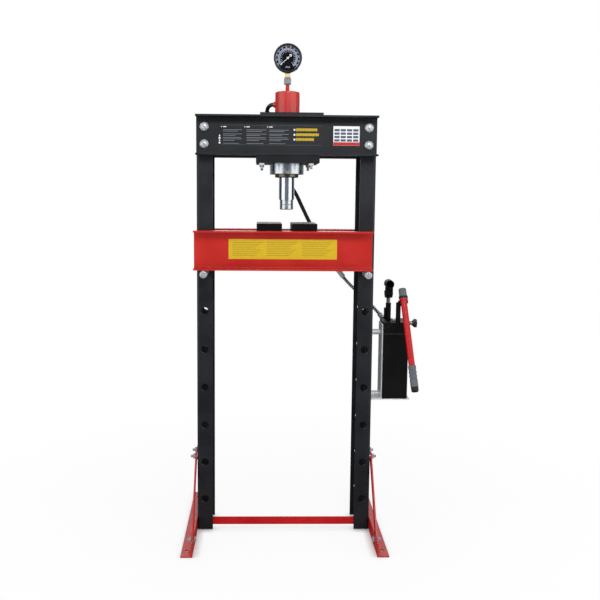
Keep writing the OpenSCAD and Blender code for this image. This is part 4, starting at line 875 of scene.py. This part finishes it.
ferrules = copy_below("hose_fittings", PUMP_FERRULE_TOP)
start, after = hose_route[1] / MM, hose_route[2] / MM
put_turned(ferrules, [(6.9, 0), (8.6, 0), (9.4, 0.8), (9.4, 15.2), (8.6, 16), (6.9, 16), (6.9, 0)],
           facing(start, after - start))
start, after = hose_route[GUARD_FROM] / MM, hose_route[GUARD_FROM + 1] / MM
way = (after - start).normalized()
put_turned(ferrules, [(6.9, 0), (8.6, 0), (9.5, 0.8), (9.5, 19), (8.8, 20), (8.8, 22), (9.5, 23),
                      (9.5, 34.6), (8.6, 36), (4.1, 36), (4.1, 33), (6.9, 30), (6.9, 0)],
           facing(start - 7 * way, way))
ferrule_set = dress(finish_mesh("hose_ferrules", ferrules, 40), [dull_zinc], "frame", "zinc_plate",
                    "hose_fittings")
print("elbow and ferrules made")

# %% [markdown]
# ## Star knob and set screws
# The release valve has a moulded knob with six rounded lobes. A circle whose points are drawn
# in between the lobes, pulled out to a thick star and generously bevelled, gives that shape.
# The pump head also shows three small set screws, and under it a thin dark grey strip, lighter
# than the black tank, is a painted highlight along the seam.

# %% Star knob
KNOB_R, KNOB_DIP, LOBES = 16.5, 3.4, 6
knob = bmesh.new()
star = bmesh.new()
bmesh.ops.create_circle(star, cap_ends=True, segments=72, radius=KNOB_R * MM)
for vert in star.verts:
    turn = Vector((1, 0)).angle_signed(vert.co.xy)
    vert.co *= 1 - KNOB_DIP / KNOB_R * (0.5 - 0.5 * cos(LOBES * turn))
raised = bmesh.ops.extrude_face_region(star, geom=list(star.faces))["geom"]
bmesh.ops.translate(star, vec=(0, 0, 12.5 * MM),
                    verts=[g for g in raised if isinstance(g, bmesh.types.BMVert)])
bmesh.ops.recalc_face_normals(star, faces=star.faces)
rims = [e for e in star.edges if e.calc_face_angle() > radians(60)]
bmesh.ops.bevel(star, geom=rims, offset=3.4 * MM, offset_type="OFFSET", affect="EDGES",
                segments=5, profile=0.5, material=-1)
put_part(knob, star, facing((466.5, 5, 748), (1, 0, 0)))
put_turned(knob, [(7.1, 0), (9.4, 0), (10, 0.6), (10, 4.5), (10.6, 6), (7.1, 6), (7.1, 0)],
           facing((461.9, 5, 748), (1, 0, 0)))
dress(finish_mesh("release_knob", knob, 40), [knob_phenolic], "valve", "knob_plastic",
      "valve_knob")

# %% Set screws
SCREW_SPOTS = ((355.1, 738.5), (368.2, 742.9), (366.3, 731.0))
screws = bmesh.new()
for x, z in SCREW_SPOTS:
    spot = facing((x, -50, z), (0, -1, 0))
    put_turned(screws, [(0, 0.2), (1.1, 0.2), (1.1, 1.1), (1.9, 1.1), (2.4, 0.6), (2.4, -2),
                        (0, -2)], spot, steps=24)
dress(finish_mesh("pump_set_screws", screws), [black_oxide], "frame", "zinc_plate")

# %% Painted seam highlight at the tank top
corners = [Vector(c) for c in frame["nodes"]["reservoir"].bound_box]
low = Vector([min(c[k] for c in corners) / MM for k in range(3)])
high = Vector([max(c[k] for c in corners) / MM for k in range(3)])
OVER, HALF_THICK = 0.3, 0.8
# Painted highlight: a thin strip round the tank top, lighter than the black tank, for the light
# caught along the seam.
seam_highlight = bmesh.new()
put_block(seam_highlight, (low.x - OVER, low.y - OVER, high.z - HALF_THICK),
          (high.x + OVER, high.y + OVER, high.z + HALF_THICK), Matrix.Identity(4))
dress(finish_mesh("tank_seam_highlight", seam_highlight), [seam_highlight_ink], "frame", "seal_rubber")
print("knob, screws and gasket made, tank top at", round(high.z, 1))
